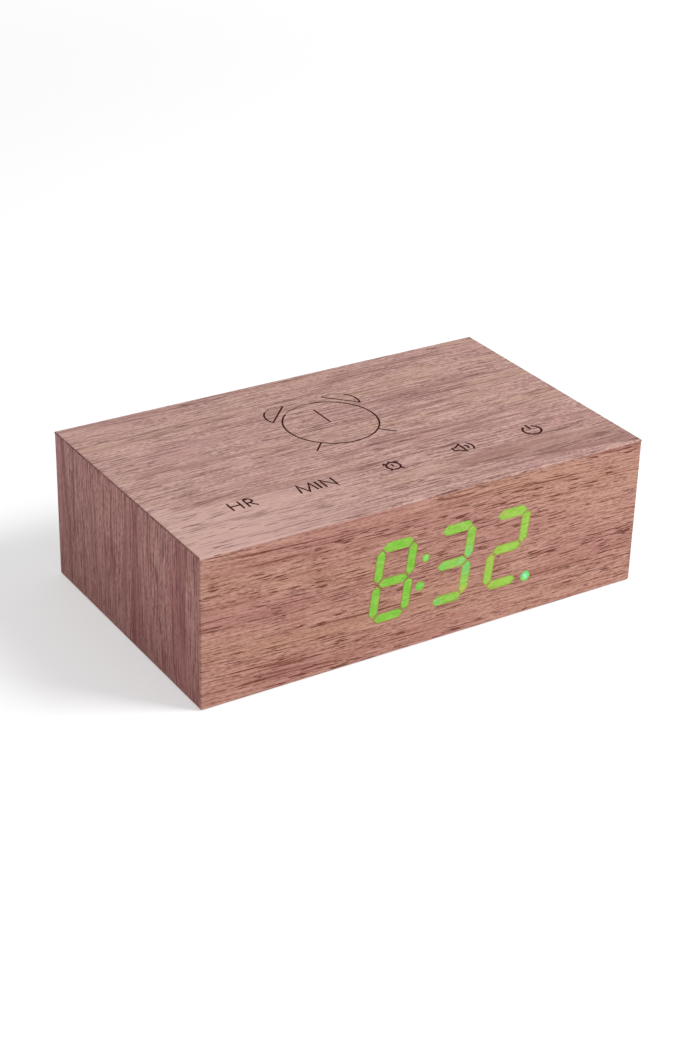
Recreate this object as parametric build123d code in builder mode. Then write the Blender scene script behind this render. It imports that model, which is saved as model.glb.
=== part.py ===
from build123d import *
from math import radians, sqrt, tan
import os

# A flip-over alarm clock: a wooden block that shows the time through its front veneer.
#
# Frame: +X along the length, to the right of the display; -Y is the display face; +Z is up.
# The origin is the middle of the underside. Lengths are millimetres.

# ---------------------------------------------------------------- the case
clock_length = 150.0
clock_depth = 90.0
clock_height = 48.0
veneer = 0.6            # walnut skin
board = 4.4             # fibreboard under it
edge_ease = 0.4         # arris taken off every outer edge
cover_gap = 0.25        # round the rear cover in its opening
block_size = 10.0       # corner blocks that carry the rear cover
block_length = 14.0
block_chamfer = 1.0

# ---------------------------------------------------------------- the display
digit_height = 25.4
digit_width = 13.7
digit_pitch = 19.4
digit_count = 4
digit_slant = 7.0       # degrees
segment_width = 2.9
segment_gap = 0.5       # between the tips of neighbouring segments
colon_space = 0.9       # extra room in the middle of the row of digits
colon_dot = 3.1         # diameter
colon_rise = 4.4        # each dot above or below the middle
colon_slant = 11.3      # degrees
point_dot = 3.5         # diameter
point_offset = 7.5      # to the right of the last digit's middle
point_drop = 11.5       # below the middle of the digits
display_x = -2.6        # middle of the row of digits
side_rim = 5.6          # housing beyond the outer digits
top_rim = 2.0
cavity_depth = 8.0      # light wells behind the segments
diffuser_thickness = 1.2
housing_wall = 1.5      # round the board in the back of the housing
housing_fit = 0.2       # round the housing in its window
flange_thickness = 1.6
flange_ear = 5.0        # flange beyond the housing's ends
flange_play = 1.1       # to the top and bottom boards
window_corner = 1.0
led_length = 1.0
led_width = 0.5
led_height = 0.5

# ---------------------------------------------------------------- circuit boards
pcb = 1.6
display_pcb = 1.2
pcb_play = 0.15         # round the display board in its recess
pillar_length = 12.0    # from the front board to the main board
pillar_radius = 3.2     # across the corners
pillar_sides = 6
pillar_inset = 5.0      # pillar axis from the ends of the main board
pillar_rise = 12.0      # pillar axes above and below the middle
main_end_play = 3.0     # main board to the end boards
main_edge_play = 2.5    # main board to the top and bottom boards
pin_size = 0.64
pin_pitch = 2.54
pins_per_row = 8
pin_row_rise = 10.5
header_height = 2.5

controller_x = -10.0
chip_drop = 2.5         # chips on the main board, below the middle
controller_length = 17.9
controller_leg_count = 14    # along each side
driver_from_end = 33.0  # middle of the driver from the left end of the main board
driver_length = 12.8
driver_leg_count = 10
wide_chip_width = 7.5
wide_chip_height = 2.3
small_chip_length = 4.9
small_chip_width = 3.9
small_chip_height = 1.5
small_chip_leg_count = 4
leg_pitch = 1.27
leg_width = 0.5
leg_foot = 1.0          # foot beyond the side of its chip
leg_metal = 0.15        # thickness, and the height of a chip above its board
crystal_x = 6.0
crystal_drop = 10.0
crystal_length = 10.5
crystal_width = 4.6
crystal_height = 3.5
capacitor_from_end = 17.0
capacitor_drop = 8.5
capacitor_count = 2
capacitor_pitch = 6.5
capacitor_radius = 2.5
capacitor_height = 7.0
resistor_from_end = 39.0
resistor_rise = 8.5
resistor_pitch = 3.2
resistor_columns = 6
resistor_rows = 2
resistor_length = 2.0
resistor_width = 1.2
resistor_height = 0.5

# ---------------------------------------------------------------- touch keys
key_count = 5
key_pitch = 25.0
key_from_front = 21.4
pad_size = 12.0
pad_corner = 2.0
pad_thickness = 0.1
film_thickness = 0.1    # adhesive that holds the strip under the top
touch_pcb = 1.0
touch_side = 1.0        # strip beyond the pads, front and back
touch_end = 3.0         # strip beyond the outer pads
pocket_play = 1.0
pocket_corner = 3.0
skin_over_keys = 1.8    # fibreboard left over the pocket
touch_chip_x = 37.5

# ---------------------------------------------------------------- battery
cell_diameter = 18.4
cell_length = 65.0
cell_play = 0.25
crimp_from_end = 4.8
crimp_width = 1.2
crimp_depth = 0.6
button_radius = 3.0     # raised positive end of the cell
button_height = 0.8
holder_floor = 2.0
holder_side = 1.6
holder_end = 2.0
holder_rise = 3.5       # holder walls above the cell's axis
contact_space = 2.0     # between a cell end and the holder's end wall
notch_length = 22.0     # finger notches in the holder's sides
notch_depth = 6.0
holder_from_end = 13.5  # holder from the left end board
holder_from_rear = 34.0  # cell axis from the rear face
strip_thickness = 0.4   # contact metal
contact_width = 8.0
contact_gap = 0.1       # contact metal to the plastic it is clipped over
tab_drop = 5.0          # solder tab outside the end wall
holder_screw_inset = 14.0

# ---------------------------------------------------------------- charging port
port_from_end = 37.0    # middle of the port from the right end board
port_rise = 10.0        # above the bottom board
port_width = 12.0       # hole in the rear cover, for the moulded end of a lead
port_height = 9.4
port_corner = 2.0
shell_width = 7.5
shell_height = 2.6
shell_depth = 5.2
shell_wall = 0.3
shell_corner = 0.8
shell_setback = 0.3     # socket mouth inside the rear cover
tongue_width = 3.8
tongue_thickness = 0.6
charge_width = 20.0
charge_depth = 17.0
charge_pillar_inset = 2.5
charge_pillar_radius = 2.4
socket_overhang = 0.2   # socket mouth beyond the edge of its board

# ---------------------------------------------------------------- sound
buzzer_radius = 6.0
buzzer_height = 8.5
buzzer_from_end = 48.0  # from the right end board
buzzer_rise = 3.5       # above the middle
buzzer_mouth = 1.2      # radius
sound_hole = 1.0        # radius
sound_pitch = 4.0
sound_hole_count = 3    # in a row
microphone_radius = 3.0
microphone_height = 2.7
microphone_from_end = 36.0  # from the left end board
microphone_rise = 7.5   # above the middle
microphone_play = 0.1
microphone_hole = 0.8   # radius
microphone_end_from_end = 24.0  # its leads on the main board
microphone_end_rise = 3.5

# ---------------------------------------------------------------- flip switch
can_radius = 2.7
can_wall = 0.3
can_length = 11.0
can_gap = 0.4           # can to the face of the main board
can_from_end = 29.0     # from the right end of the main board
plug_thickness = 1.5
ball_radius = 2.1
ball_rest = 0.08        # ball above its contacts, and under the far end
pin_spacing = 2.54
wire_size = 0.6         # square
wire_drop = 2.4

# ---------------------------------------------------------------- leads and screws
lead_radius = 0.65
lead_sides = 8          # a plain section for every lead
lead_bend = 2.2
lead_from_port = 6.0    # battery leads on the charging board, to the right of the port
lead_spread = 1.5       # each of them from the middle of the board
lead_turn = 6.0         # straight run before a lead turns away
power_lead_inset = 3.0  # from the front edge of the charging board
power_lead_rise = 9.0
power_lead_reach = 12.0
power_lead_over = 5.0   # height that the leads lose on the way into the plug
microphone_lead_out = 12.0
microphone_lead_in = 14.0
ribbon_width = 9.0
ribbon_thickness = 0.2
ribbon_bend = 1.8
ribbon_start = 2.0      # soldered end, in front of the middle of the touch strip
ribbon_out = 5.4        # the turn, behind the middle of the touch strip
ribbon_drop = 4.6       # from the touch strip to the second turn
ribbon_socket_width = 12.0
ribbon_socket_depth = 3.0
ribbon_socket_height = 3.0
ribbon_socket_drop = 6.5  # below the top board
plug_length = 6.5
plug_width = 7.0
plug_height = 4.8
plug_play = 0.1
plug_chamfer = 0.4
socket_wall = 1.0
socket_well = 5.0       # depth that the plug goes in
socket_floor = 1.0
power_from_end = 15.0   # from the right end of the main board
power_drop = 8.5        # below the middle
power_spacing = 2.5
cover_screw_radius = 1.45
cover_screw_head = 2.8
cover_screw_length = 14.0
small_screw_radius = 1.0
small_screw_head = 1.9
small_screw_head_height = 1.3
small_screw_length = 7.0
flange_screw_length = 5.0
holder_screw_radius = 1.2
holder_screw_head = 2.2
holder_screw_head_height = 1.0
holder_screw_length = 4.4
screw_end_play = 0.3    # hole beyond the tip of a screw
thread_gap = 0.05       # round a screw in its hole

# ---------------------------------------------------------------- worked-out places
wall = veneer + board
mid_z = clock_height / 2
end_x = clock_length / 2
rear_y = clock_depth / 2
front_y = -rear_y
inner_x = end_x - wall
inner_front = front_y + wall
inner_rear = rear_y - wall
ceiling_z = clock_height - wall
opening_height = ceiling_z - wall

core_half = Vector(end_x - veneer, rear_y - veneer, mid_z - veneer)
upward = Vector(0, 0, 1)
downward = Vector(0, 0, -1)
leftward = Vector(-1, 0, 0)
rightward = Vector(1, 0, 0)
frontward = Vector(0, -1, 0)


def upright(y):
    """The X-Z plane at depth y, facing the front."""
    return Plane.XZ.offset(-y)


def facing_rear(y):
    """The plane at depth y, at mid-height, facing the rear; its own x runs to -X."""
    return Plane(origin=(0, y, mid_z), x_dir=(-1, 0, 0), z_dir=(0, 1, 0))


def mitre(facing, neighbour):
    """The 45 degree plane between two boards, its normal into the one that looks along facing."""
    reach = facing + neighbour
    corner = Vector(reach.X * core_half.X, reach.Y * core_half.Y, mid_z + reach.Z * core_half.Z)
    return Plane(origin=corner, z_dir=facing - neighbour)


def screws(face, spots, radius, head, head_height, length, sunk):
    """Plain screws driven into face at the spots on it: countersunk, or with a flat head on top."""
    with BuildPart(face) as group:
        with Locations(*spots):
            if sunk:
                Cone(radius, head, head_height, align=(Align.CENTER, Align.CENTER, Align.MAX))
            else:
                Cylinder(head, head_height, align=(Align.CENTER, Align.CENTER, Align.MIN))
            Cylinder(radius, length, align=(Align.CENTER, Align.CENTER, Align.MAX))
    return group


def chip(face, length, width, height, legs):
    """A moulded chip on face, standing on the flat feet along its two long sides."""
    with BuildPart() as body:
        with BuildSketch(face.offset(leg_metal)):
            Rectangle(length, width)
        extrude(amount=height - leg_metal)
        with BuildSketch(face):
            with GridLocations(leg_pitch, width, legs, 2):
                Rectangle(leg_width, 2 * leg_foot)
        extrude(amount=leg_metal)
    return body


def lead(points, bend):
    """An insulated wire: straight runs between the points, joined by arcs."""
    with BuildPart() as wire:
        with BuildLine() as route:
            FilletPolyline(*points, radius=bend)
        with BuildSketch(Plane(origin=route.line @ 0, z_dir=route.line % 0)):
            RegularPolygon(lead_radius, lead_sides)
        sweep(path=route.line)
    return wire


# ================================================================ veneers
def face_veneer(height):
    """A full-size sheet for the top or the bottom, eased all round its outer face."""
    outside = -1 if height > mid_z else 0
    with BuildPart() as sheet:
        with BuildSketch(Plane.XY.offset(height)):
            Rectangle(clock_length, clock_depth)
        extrude(amount=veneer)
        chamfer(sheet.edges().filter_by(Axis.Z), edge_ease)
        chamfer(sheet.faces().sort_by(Axis.Z)[outside].edges(), edge_ease)
    return sheet


top_veneer = face_veneer(clock_height - veneer)
top_veneer.part.label = "top_veneer"

bottom_veneer = face_veneer(0)
bottom_veneer.part.label = "bottom_veneer"

with BuildPart() as front_veneer:
    with BuildSketch(upright(front_y + veneer)):
        with Locations((0, mid_z)):
            Rectangle(clock_length, 2 * core_half.Z)
    extrude(amount=veneer)
    chamfer(front_veneer.edges().filter_by(Axis.Z).group_by(Axis.Y)[0], edge_ease)
front_veneer.part.label = "front_veneer"


def end_veneer(side):
    """The sheet on one end, from behind the front veneer to the rear face."""
    with BuildPart() as sheet:
        with BuildSketch(Plane.XY.offset(veneer)):
            with Locations((side * (end_x - veneer / 2), veneer / 2)):
                Rectangle(veneer, clock_depth - veneer)
        extrude(amount=2 * core_half.Z)
        outer_corner = sheet.edges().filter_by(Axis.Z).group_by(Axis.Y)[-1].sort_by(Axis.X)
        chamfer(outer_corner[-1 if side > 0 else 0], edge_ease)
    return sheet


left_end_veneer = end_veneer(-1)
left_end_veneer.part.label = "left_end_veneer"

right_end_veneer = end_veneer(1)
right_end_veneer.part.label = "right_end_veneer"

with BuildPart() as rear_edge_banding:
    with BuildSketch(upright(rear_y)):
        with Locations((0, mid_z)):
            Rectangle(2 * core_half.X, 2 * core_half.Z)
            Rectangle(2 * inner_x, opening_height, mode=Mode.SUBTRACT)
    extrude(amount=veneer)
rear_edge_banding.part.label = "rear_edge_banding"

# ================================================================ boards, mitred at every corner
touch_length = (key_count - 1) * key_pitch + pad_size + 2 * touch_end
touch_width = pad_size + 2 * touch_side
key_y = front_y + key_from_front
pocket_top = clock_height - veneer - skin_over_keys

with BuildPart() as top_board:
    with BuildSketch(Plane.XY.offset(ceiling_z)):
        Rectangle(2 * core_half.X, 2 * core_half.Y)
    extrude(amount=board)
    for neighbour in (leftward, rightward, frontward):
        split(bisect_by=mitre(upward, neighbour), keep=Keep.TOP)
    with BuildSketch(Plane.XY.offset(ceiling_z)):
        with Locations((0, key_y)):
            RectangleRounded(touch_length + 2 * pocket_play, touch_width + 2 * pocket_play, pocket_corner)
    extrude(amount=pocket_top - ceiling_z, mode=Mode.SUBTRACT)
top_board.part.label = "top_board"

holder_y = rear_y - holder_from_rear
holder_length = cell_length + 2 * (contact_space + holder_end)
holder_width = cell_diameter + 2 * (cell_play + holder_side)
holder_x = holder_from_end + holder_length / 2 - inner_x
holder_screw_spots = [
    (holder_x - cell_length / 2 + holder_screw_inset, holder_y),
    (holder_x + cell_length / 2 - holder_screw_inset, holder_y),
]

with BuildPart() as bottom_board:
    with BuildSketch(Plane.XY.offset(veneer)):
        Rectangle(2 * core_half.X, 2 * core_half.Y)
    extrude(amount=board)
    for neighbour in (leftward, rightward, frontward):
        split(bisect_by=mitre(downward, neighbour), keep=Keep.TOP)
    with BuildSketch(Plane.XY.offset(wall)):
        with Locations(*holder_screw_spots):
            Circle(holder_screw_radius + thread_gap)
    extrude(
        amount=holder_floor - holder_screw_head_height - holder_screw_length - screw_end_play,
        mode=Mode.SUBTRACT,
    )
bottom_board.part.label = "bottom_board"

row_span = (digit_count - 1) * digit_pitch + colon_space
housing_width = row_span + digit_width + 2 * side_rim
housing_height = digit_height + 2 * top_rim
flange_width = housing_width + 2 * flange_ear
flange_height = opening_height - 2 * flange_play
housing_screw_x = (housing_width + flange_ear) / 2
housing_screw_spots = [(display_x + side * housing_screw_x, mid_z) for side in (-1, 1)]

with BuildPart() as front_board:
    with BuildSketch(upright(inner_front)):
        with Locations((0, mid_z)):
            Rectangle(2 * core_half.X, 2 * core_half.Z)
    extrude(amount=board)
    for neighbour in (leftward, rightward, upward, downward):
        split(bisect_by=mitre(frontward, neighbour), keep=Keep.TOP)
    with BuildSketch(upright(inner_front)):
        with Locations((display_x, mid_z)):
            RectangleRounded(
                housing_width + 2 * housing_fit,
                housing_height + 2 * housing_fit,
                window_corner + housing_fit,
            )
    extrude(amount=board, mode=Mode.SUBTRACT)
    with BuildSketch(upright(inner_front)):
        with Locations(*housing_screw_spots):
            Circle(small_screw_radius + thread_gap)
    extrude(amount=flange_screw_length + screw_end_play - flange_thickness, mode=Mode.SUBTRACT)
front_board.part.label = "front_board"


def end_board(side):
    """The board inside one end veneer."""
    outward = rightward if side > 0 else leftward
    with BuildPart() as piece:
        with BuildSketch(Plane.XY.offset(veneer)):
            with Locations((side * (core_half.X - board / 2), 0)):
                Rectangle(board, 2 * core_half.Y)
        extrude(amount=2 * core_half.Z)
        for neighbour in (upward, downward, frontward):
            split(bisect_by=mitre(outward, neighbour), keep=Keep.TOP)
    return piece


left_end_board = end_board(-1)
left_end_board.part.label = "left_end_board"

right_end_board = end_board(1)
right_end_board.part.label = "right_end_board"

# ================================================================ rear cover
block_x = inner_x - block_size / 2
block_rise = opening_height / 2 - block_size / 2
cover_screw_spots = [(side * block_x, level * block_rise) for side in (-1, 1) for level in (-1, 1)]
cover_width = 2 * (inner_x - cover_gap)
cover_height = opening_height - 2 * cover_gap
port_x = inner_x - port_from_end
port_z = wall + port_rise
microphone_x = microphone_from_end - inner_x
microphone_z = mid_z + microphone_rise
buzzer_x = inner_x - buzzer_from_end
buzzer_z = mid_z + buzzer_rise

with BuildPart() as corner_blocks:
    with BuildSketch(facing_rear(inner_rear)):
        with Locations(*cover_screw_spots):
            Rectangle(block_size, block_size)
    extrude(amount=-block_length)
    chamfer(corner_blocks.edges().filter_by(Axis.Y), block_chamfer)
    with BuildSketch(facing_rear(inner_rear)):
        with Locations(*cover_screw_spots):
            Circle(cover_screw_radius + thread_gap)
    extrude(amount=wall - cover_screw_length - screw_end_play, mode=Mode.SUBTRACT)
corner_blocks.part.label = "corner_blocks"


def rear_sheet(inner, thickness, pocket):
    """One layer of the rear cover, with its screw, port and sound holes and the microphone's pocket."""
    with BuildPart() as sheet:
        with BuildSketch(upright(inner + thickness)):
            with Locations((0, mid_z)):
                Rectangle(cover_width, cover_height)
            with Locations((port_x, port_z)):
                RectangleRounded(port_width, port_height, port_corner, mode=Mode.SUBTRACT)
            with Locations((microphone_x, microphone_z)):
                Circle(microphone_hole, mode=Mode.SUBTRACT)
            with Locations((buzzer_x, buzzer_z)):
                with GridLocations(sound_pitch, 0, sound_hole_count, 1):
                    Circle(sound_hole, mode=Mode.SUBTRACT)
        extrude(amount=thickness)
        with Locations(facing_rear(rear_y)):
            with Locations(*cover_screw_spots):
                CounterSinkHole(
                    cover_screw_radius + thread_gap, cover_screw_head + thread_gap,
                    depth=wall, counter_sink_angle=90,
                )
        if pocket:
            with BuildSketch(upright(inner_rear)):
                with Locations((microphone_x, microphone_z)):
                    Circle(microphone_radius + microphone_play)
            extrude(amount=-pocket, mode=Mode.SUBTRACT)
    return sheet


rear_board = rear_sheet(inner_rear, board, microphone_height)
rear_board.part.label = "rear_board"

rear_veneer = rear_sheet(rear_y - veneer, veneer, 0)
rear_veneer.part.label = "rear_veneer"

rear_cover_screws = screws(
    facing_rear(rear_y), cover_screw_spots, cover_screw_radius, cover_screw_head,
    cover_screw_head - cover_screw_radius, cover_screw_length, True,
)
rear_cover_screws.part.label = "rear_cover_screws"

# ================================================================ display module
housing_front = front_y + veneer
display_board_front = housing_front + cavity_depth
housing_back = display_board_front + display_pcb
digit_centres = [
    display_x + (place - (digit_count - 1) / 2) * digit_pitch
    + (colon_space / 2 if place >= digit_count / 2 else -colon_space / 2)
    for place in range(digit_count)
]
arm = (digit_width - segment_width) / 2
rise = (digit_height - segment_width) / 4
segment_spots = [
    (0, 2 * rise, False), (arm, rise, True), (arm, -rise, True), (0, -2 * rise, False),
    (-arm, -rise, True), (-arm, rise, True), (0, 0, False),
]
dot_spots = [
    (display_x + side * colon_rise * tan(radians(colon_slant)), mid_z + side * colon_rise, colon_dot / 2)
    for side in (-1, 1)
]
dot_spots.append((digit_centres[-1] + point_offset, mid_z - point_drop, point_dot / 2))


def lean(x, z):
    """A point of an upright digit, slanted about the digit's middle."""
    return (x + z * tan(radians(digit_slant)), z)


def segment_outline(centre_x, centre_z, is_upright):
    """The six corners of one segment, its ends pointed so that neighbours part along a thin line."""
    half = (rise if is_upright else arm) - segment_gap / sqrt(2)
    side = segment_width / 2
    flat = [(half, 0), (half - side, side), (side - half, side)]
    flat += [(-x, -z) for x, z in flat]
    turned = [(-z, x) for x, z in flat] if is_upright else flat
    return [lean(centre_x + x, centre_z + z) for x, z in turned]


with BuildSketch(upright(housing_front)) as light_windows:
    for centre in digit_centres:
        with Locations((centre, mid_z)):
            for spot in segment_spots:
                Polygon(*segment_outline(*spot), align=None)
    for dot_x, dot_z, dot_radius in dot_spots:
        with Locations((dot_x, dot_z)):
            Circle(dot_radius)

with BuildPart() as display_housing:
    with BuildSketch(upright(housing_back)):
        with Locations((display_x, mid_z)):
            RectangleRounded(housing_width, housing_height, window_corner)
    extrude(amount=housing_back - housing_front)
    with BuildSketch(upright(inner_front + flange_thickness)):
        with Locations((display_x, mid_z)):
            Rectangle(flange_width, flange_height)
        with Locations(*housing_screw_spots):
            Circle(small_screw_radius + thread_gap, mode=Mode.SUBTRACT)
    extrude(amount=flange_thickness)
    with BuildSketch(upright(housing_back)):
        with Locations((display_x, mid_z)):
            Rectangle(housing_width - 2 * housing_wall, housing_height - 2 * housing_wall)
    extrude(amount=display_pcb, mode=Mode.SUBTRACT)
    extrude(light_windows.sketch, amount=-cavity_depth, mode=Mode.SUBTRACT)
display_housing.part.label = "display_housing"

with BuildPart() as segment_diffusers:
    extrude(light_windows.sketch, amount=-diffuser_thickness)
segment_diffusers.part.label = "segment_diffusers"

with BuildPart() as display_board:
    with BuildSketch(upright(housing_back)):
        with Locations((display_x, mid_z)):
            Rectangle(
                housing_width - 2 * (housing_wall + pcb_play),
                housing_height - 2 * (housing_wall + pcb_play),
            )
    extrude(amount=display_pcb)
display_board.part.label = "display_board"

with BuildPart() as segment_leds:
    with BuildSketch(upright(display_board_front)):
        for centre in digit_centres:
            for spot_x, spot_z, is_upright in segment_spots:
                lean_x, lean_z = lean(spot_x, spot_z)
                with Locations(Location((centre + lean_x, mid_z + lean_z), 90 if is_upright else 0)):
                    Rectangle(led_length, led_width)
        for dot_x, dot_z, dot_radius in dot_spots:
            with Locations((dot_x, dot_z)):
                Rectangle(led_length, led_width)
    extrude(amount=led_height)
segment_leds.part.label = "segment_leds"

housing_screws = screws(
    facing_rear(inner_front + flange_thickness), [(-x, z - mid_z) for x, z in housing_screw_spots],
    small_screw_radius, small_screw_head, small_screw_head_height, flange_screw_length, False,
)
housing_screws.part.label = "housing_screws"

# ================================================================ main board
main_front = inner_front + pillar_length
main_rear = main_front + pcb
main_length = 2 * (inner_x - main_end_play)
main_height = opening_height - 2 * main_edge_play
pillar_x = main_length / 2 - pillar_inset
pillar_spots = [(side * pillar_x, level * pillar_rise) for side in (-1, 1) for level in (-1, 1)]
pin_spots = [
    (display_x + (place - (pins_per_row - 1) / 2) * pin_pitch, mid_z + level * pin_row_rise)
    for place in range(pins_per_row)
    for level in (-1, 1)
]

with BuildPart() as main_board:
    with BuildSketch(upright(main_rear)):
        with Locations((0, mid_z)):
            Rectangle(main_length, main_height)
            with Locations(*pillar_spots):
                Circle(small_screw_radius + thread_gap, mode=Mode.SUBTRACT)
    extrude(amount=pcb)
main_board.part.label = "main_board"

with BuildPart() as board_pillars:
    with BuildSketch(upright(main_front)):
        with Locations((0, mid_z)):
            with Locations(*pillar_spots):
                RegularPolygon(pillar_radius, pillar_sides)
    extrude(amount=pillar_length)
    with BuildSketch(upright(main_front)):
        with Locations((0, mid_z)):
            with Locations(*pillar_spots):
                Circle(small_screw_radius + thread_gap)
    extrude(amount=small_screw_length + screw_end_play - pcb, mode=Mode.SUBTRACT)
board_pillars.part.label = "board_pillars"

board_screws = screws(
    facing_rear(main_rear), pillar_spots,
    small_screw_radius, small_screw_head, small_screw_head_height, small_screw_length, False,
)
board_screws.part.label = "board_screws"

with BuildPart() as display_pins:
    with BuildSketch(upright(main_front)):
        with Locations(*pin_spots):
            Rectangle(pin_size, pin_size)
    extrude(amount=main_front - housing_back)
display_pins.part.label = "display_pins"

with BuildPart() as pin_headers:
    with BuildSketch(upright(main_front)):
        with Locations(*[(display_x, mid_z + level * pin_row_rise) for level in (-1, 1)]):
            Rectangle(pins_per_row * pin_pitch, pin_pitch)
        with Locations(*pin_spots):
            Rectangle(pin_size, pin_size, mode=Mode.SUBTRACT)
    extrude(amount=header_height)
pin_headers.part.label = "pin_headers"


def on_main_board(x, z):
    """The spot on the rear face of the main board at x and height z, facing the rear."""
    return Plane(origin=(x, main_rear, z), x_dir=(1, 0, 0), z_dir=(0, 1, 0))


left_edge = -main_length / 2
right_edge = main_length / 2

controller_chip = chip(
    on_main_board(controller_x, mid_z - chip_drop),
    controller_length, wide_chip_width, wide_chip_height, controller_leg_count,
)
controller_chip.part.label = "controller_chip"

driver_chip = chip(
    on_main_board(left_edge + driver_from_end, mid_z - chip_drop),
    driver_length, wide_chip_width, wide_chip_height, driver_leg_count,
)
driver_chip.part.label = "driver_chip"

with BuildPart() as clock_crystal:
    with BuildSketch(on_main_board(crystal_x, mid_z - crystal_drop)):
        SlotOverall(crystal_length, crystal_width)
    extrude(amount=crystal_height)
clock_crystal.part.label = "clock_crystal"

with BuildPart() as capacitors:
    with BuildSketch(on_main_board(left_edge + capacitor_from_end, mid_z - capacitor_drop)):
        with GridLocations(capacitor_pitch, 0, capacitor_count, 1):
            Circle(capacitor_radius)
    extrude(amount=capacitor_height)
capacitors.part.label = "capacitors"

with BuildPart() as board_resistors:
    with BuildSketch(on_main_board(left_edge + resistor_from_end, mid_z + resistor_rise)):
        with GridLocations(resistor_pitch, resistor_pitch, resistor_columns, resistor_rows):
            Rectangle(resistor_length, resistor_width)
    extrude(amount=resistor_height)
board_resistors.part.label = "board_resistors"

with BuildPart() as buzzer:
    with BuildSketch(on_main_board(buzzer_x, buzzer_z)):
        Circle(buzzer_radius)
    extrude(amount=buzzer_height)
    with BuildSketch(on_main_board(buzzer_x, buzzer_z).offset(buzzer_height)):
        Circle(buzzer_mouth)
    extrude(amount=-buzzer_mouth, mode=Mode.SUBTRACT)
buzzer.part.label = "buzzer"

power_x = right_edge - power_from_end
power_z = mid_z - power_drop

with BuildPart() as power_socket:
    with BuildSketch(on_main_board(power_x, power_z)):
        Rectangle(plug_width + 2 * (plug_play + socket_wall), plug_height + 2 * (plug_play + socket_wall))
    extrude(amount=socket_floor + socket_well)
    with BuildSketch(on_main_board(power_x, power_z).offset(socket_floor)):
        Rectangle(plug_width + 2 * plug_play, plug_height + 2 * plug_play)
    extrude(amount=socket_well, mode=Mode.SUBTRACT)
power_socket.part.label = "power_socket"

with BuildPart() as power_plug:
    with BuildSketch(on_main_board(power_x, power_z).offset(socket_floor)):
        Rectangle(plug_width, plug_height)
    extrude(amount=plug_length)
    chamfer(power_plug.faces().sort_by(Axis.Y)[-1].edges(), plug_chamfer)
power_plug.part.label = "power_plug"

# ================================================================ flip switch: a ball in an upright can
can_x = right_edge - can_from_end
can_y = main_rear + can_gap + can_radius
can_bottom = mid_z - can_length / 2
bore_radius = can_radius - can_wall
ball_travel = can_length - can_wall - plug_thickness - 2 * (ball_radius + ball_rest)

with BuildPart() as switch_can:
    with BuildSketch(Plane.XY.offset(can_bottom)):
        with Locations((can_x, can_y)):
            Circle(can_radius)
    extrude(amount=can_length)
    with BuildSketch(Plane.XY.offset(can_bottom)):
        with Locations((can_x, can_y)):
            Circle(bore_radius)
    extrude(amount=can_length - can_wall, mode=Mode.SUBTRACT)
switch_can.part.label = "switch_can"

with BuildPart() as switch_base:
    with BuildSketch(Plane.XY.offset(can_bottom)):
        with Locations((can_x, can_y)):
            Circle(bore_radius)
            with GridLocations(pin_spacing, 0, 2, 1):
                Rectangle(wire_size, wire_size, mode=Mode.SUBTRACT)
    extrude(amount=plug_thickness)
switch_base.part.label = "switch_base"

with BuildPart() as switch_wires:
    for side in (-1, 1):
        wire_x = can_x + side * pin_spacing / 2
        with BuildLine() as wire_route:
            FilletPolyline(
                (wire_x, can_y, can_bottom + plug_thickness),
                (wire_x, can_y, can_bottom - wire_drop),
                (wire_x, main_rear, can_bottom - wire_drop),
                radius=wire_drop / 2,
            )
        with BuildSketch(Plane(origin=wire_route.line @ 0, x_dir=(1, 0, 0), z_dir=(0, 0, -1))):
            Rectangle(wire_size, wire_size)
        sweep(path=wire_route.line)
switch_wires.part.label = "switch_wires"

with BuildPart() as switch_ball:
    with Locations((can_x, can_y, can_bottom + plug_thickness + ball_rest + ball_radius)):
        Sphere(ball_radius)
switch_ball.part.label = "switch_ball"

# ================================================================ touch strip in its pocket
touch_top = pocket_top - film_thickness - pad_thickness

with BuildPart() as touch_film:
    with BuildSketch(Plane.XY.offset(pocket_top - film_thickness)):
        with Locations((0, key_y)):
            Rectangle(touch_length, touch_width)
    extrude(amount=film_thickness)
touch_film.part.label = "touch_film"

with BuildPart() as touch_pads:
    with BuildSketch(Plane.XY.offset(touch_top)):
        with Locations((0, key_y)):
            with GridLocations(key_pitch, 0, key_count, 1):
                Rectangle(pad_size, pad_size)
    extrude(amount=pad_thickness)
    chamfer(touch_pads.edges().filter_by(Axis.Z), pad_corner)
touch_pads.part.label = "touch_pads"

with BuildPart() as touch_board:
    with BuildSketch(Plane.XY.offset(touch_top - touch_pcb)):
        with Locations((0, key_y)):
            Rectangle(touch_length, touch_width)
    extrude(amount=touch_pcb)
touch_board.part.label = "touch_board"

touch_underside = Plane(
    origin=(touch_chip_x, key_y, touch_top - touch_pcb), x_dir=(1, 0, 0), z_dir=(0, 0, -1)
)
touch_chip = chip(
    touch_underside, small_chip_length, small_chip_width, small_chip_height, small_chip_leg_count
)
touch_chip.part.label = "touch_chip"

ribbon_z = touch_top - touch_pcb - ribbon_thickness / 2
ribbon_end_y = main_rear + ribbon_socket_depth / 2
ribbon_socket_top = ceiling_z - ribbon_socket_drop

with BuildPart() as touch_ribbon:
    with BuildSketch(Plane.YZ):
        with BuildLine():
            FilletPolyline(
                (key_y - ribbon_start, ribbon_z),
                (key_y + ribbon_out, ribbon_z),
                (key_y + ribbon_out, ribbon_z - ribbon_drop),
                (ribbon_end_y, ribbon_z - ribbon_drop),
                (ribbon_end_y, ribbon_socket_top),
                radius=ribbon_bend,
            )
        trace(line_width=ribbon_thickness)
    extrude(amount=ribbon_width / 2, both=True)
touch_ribbon.part.label = "touch_ribbon"

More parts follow.
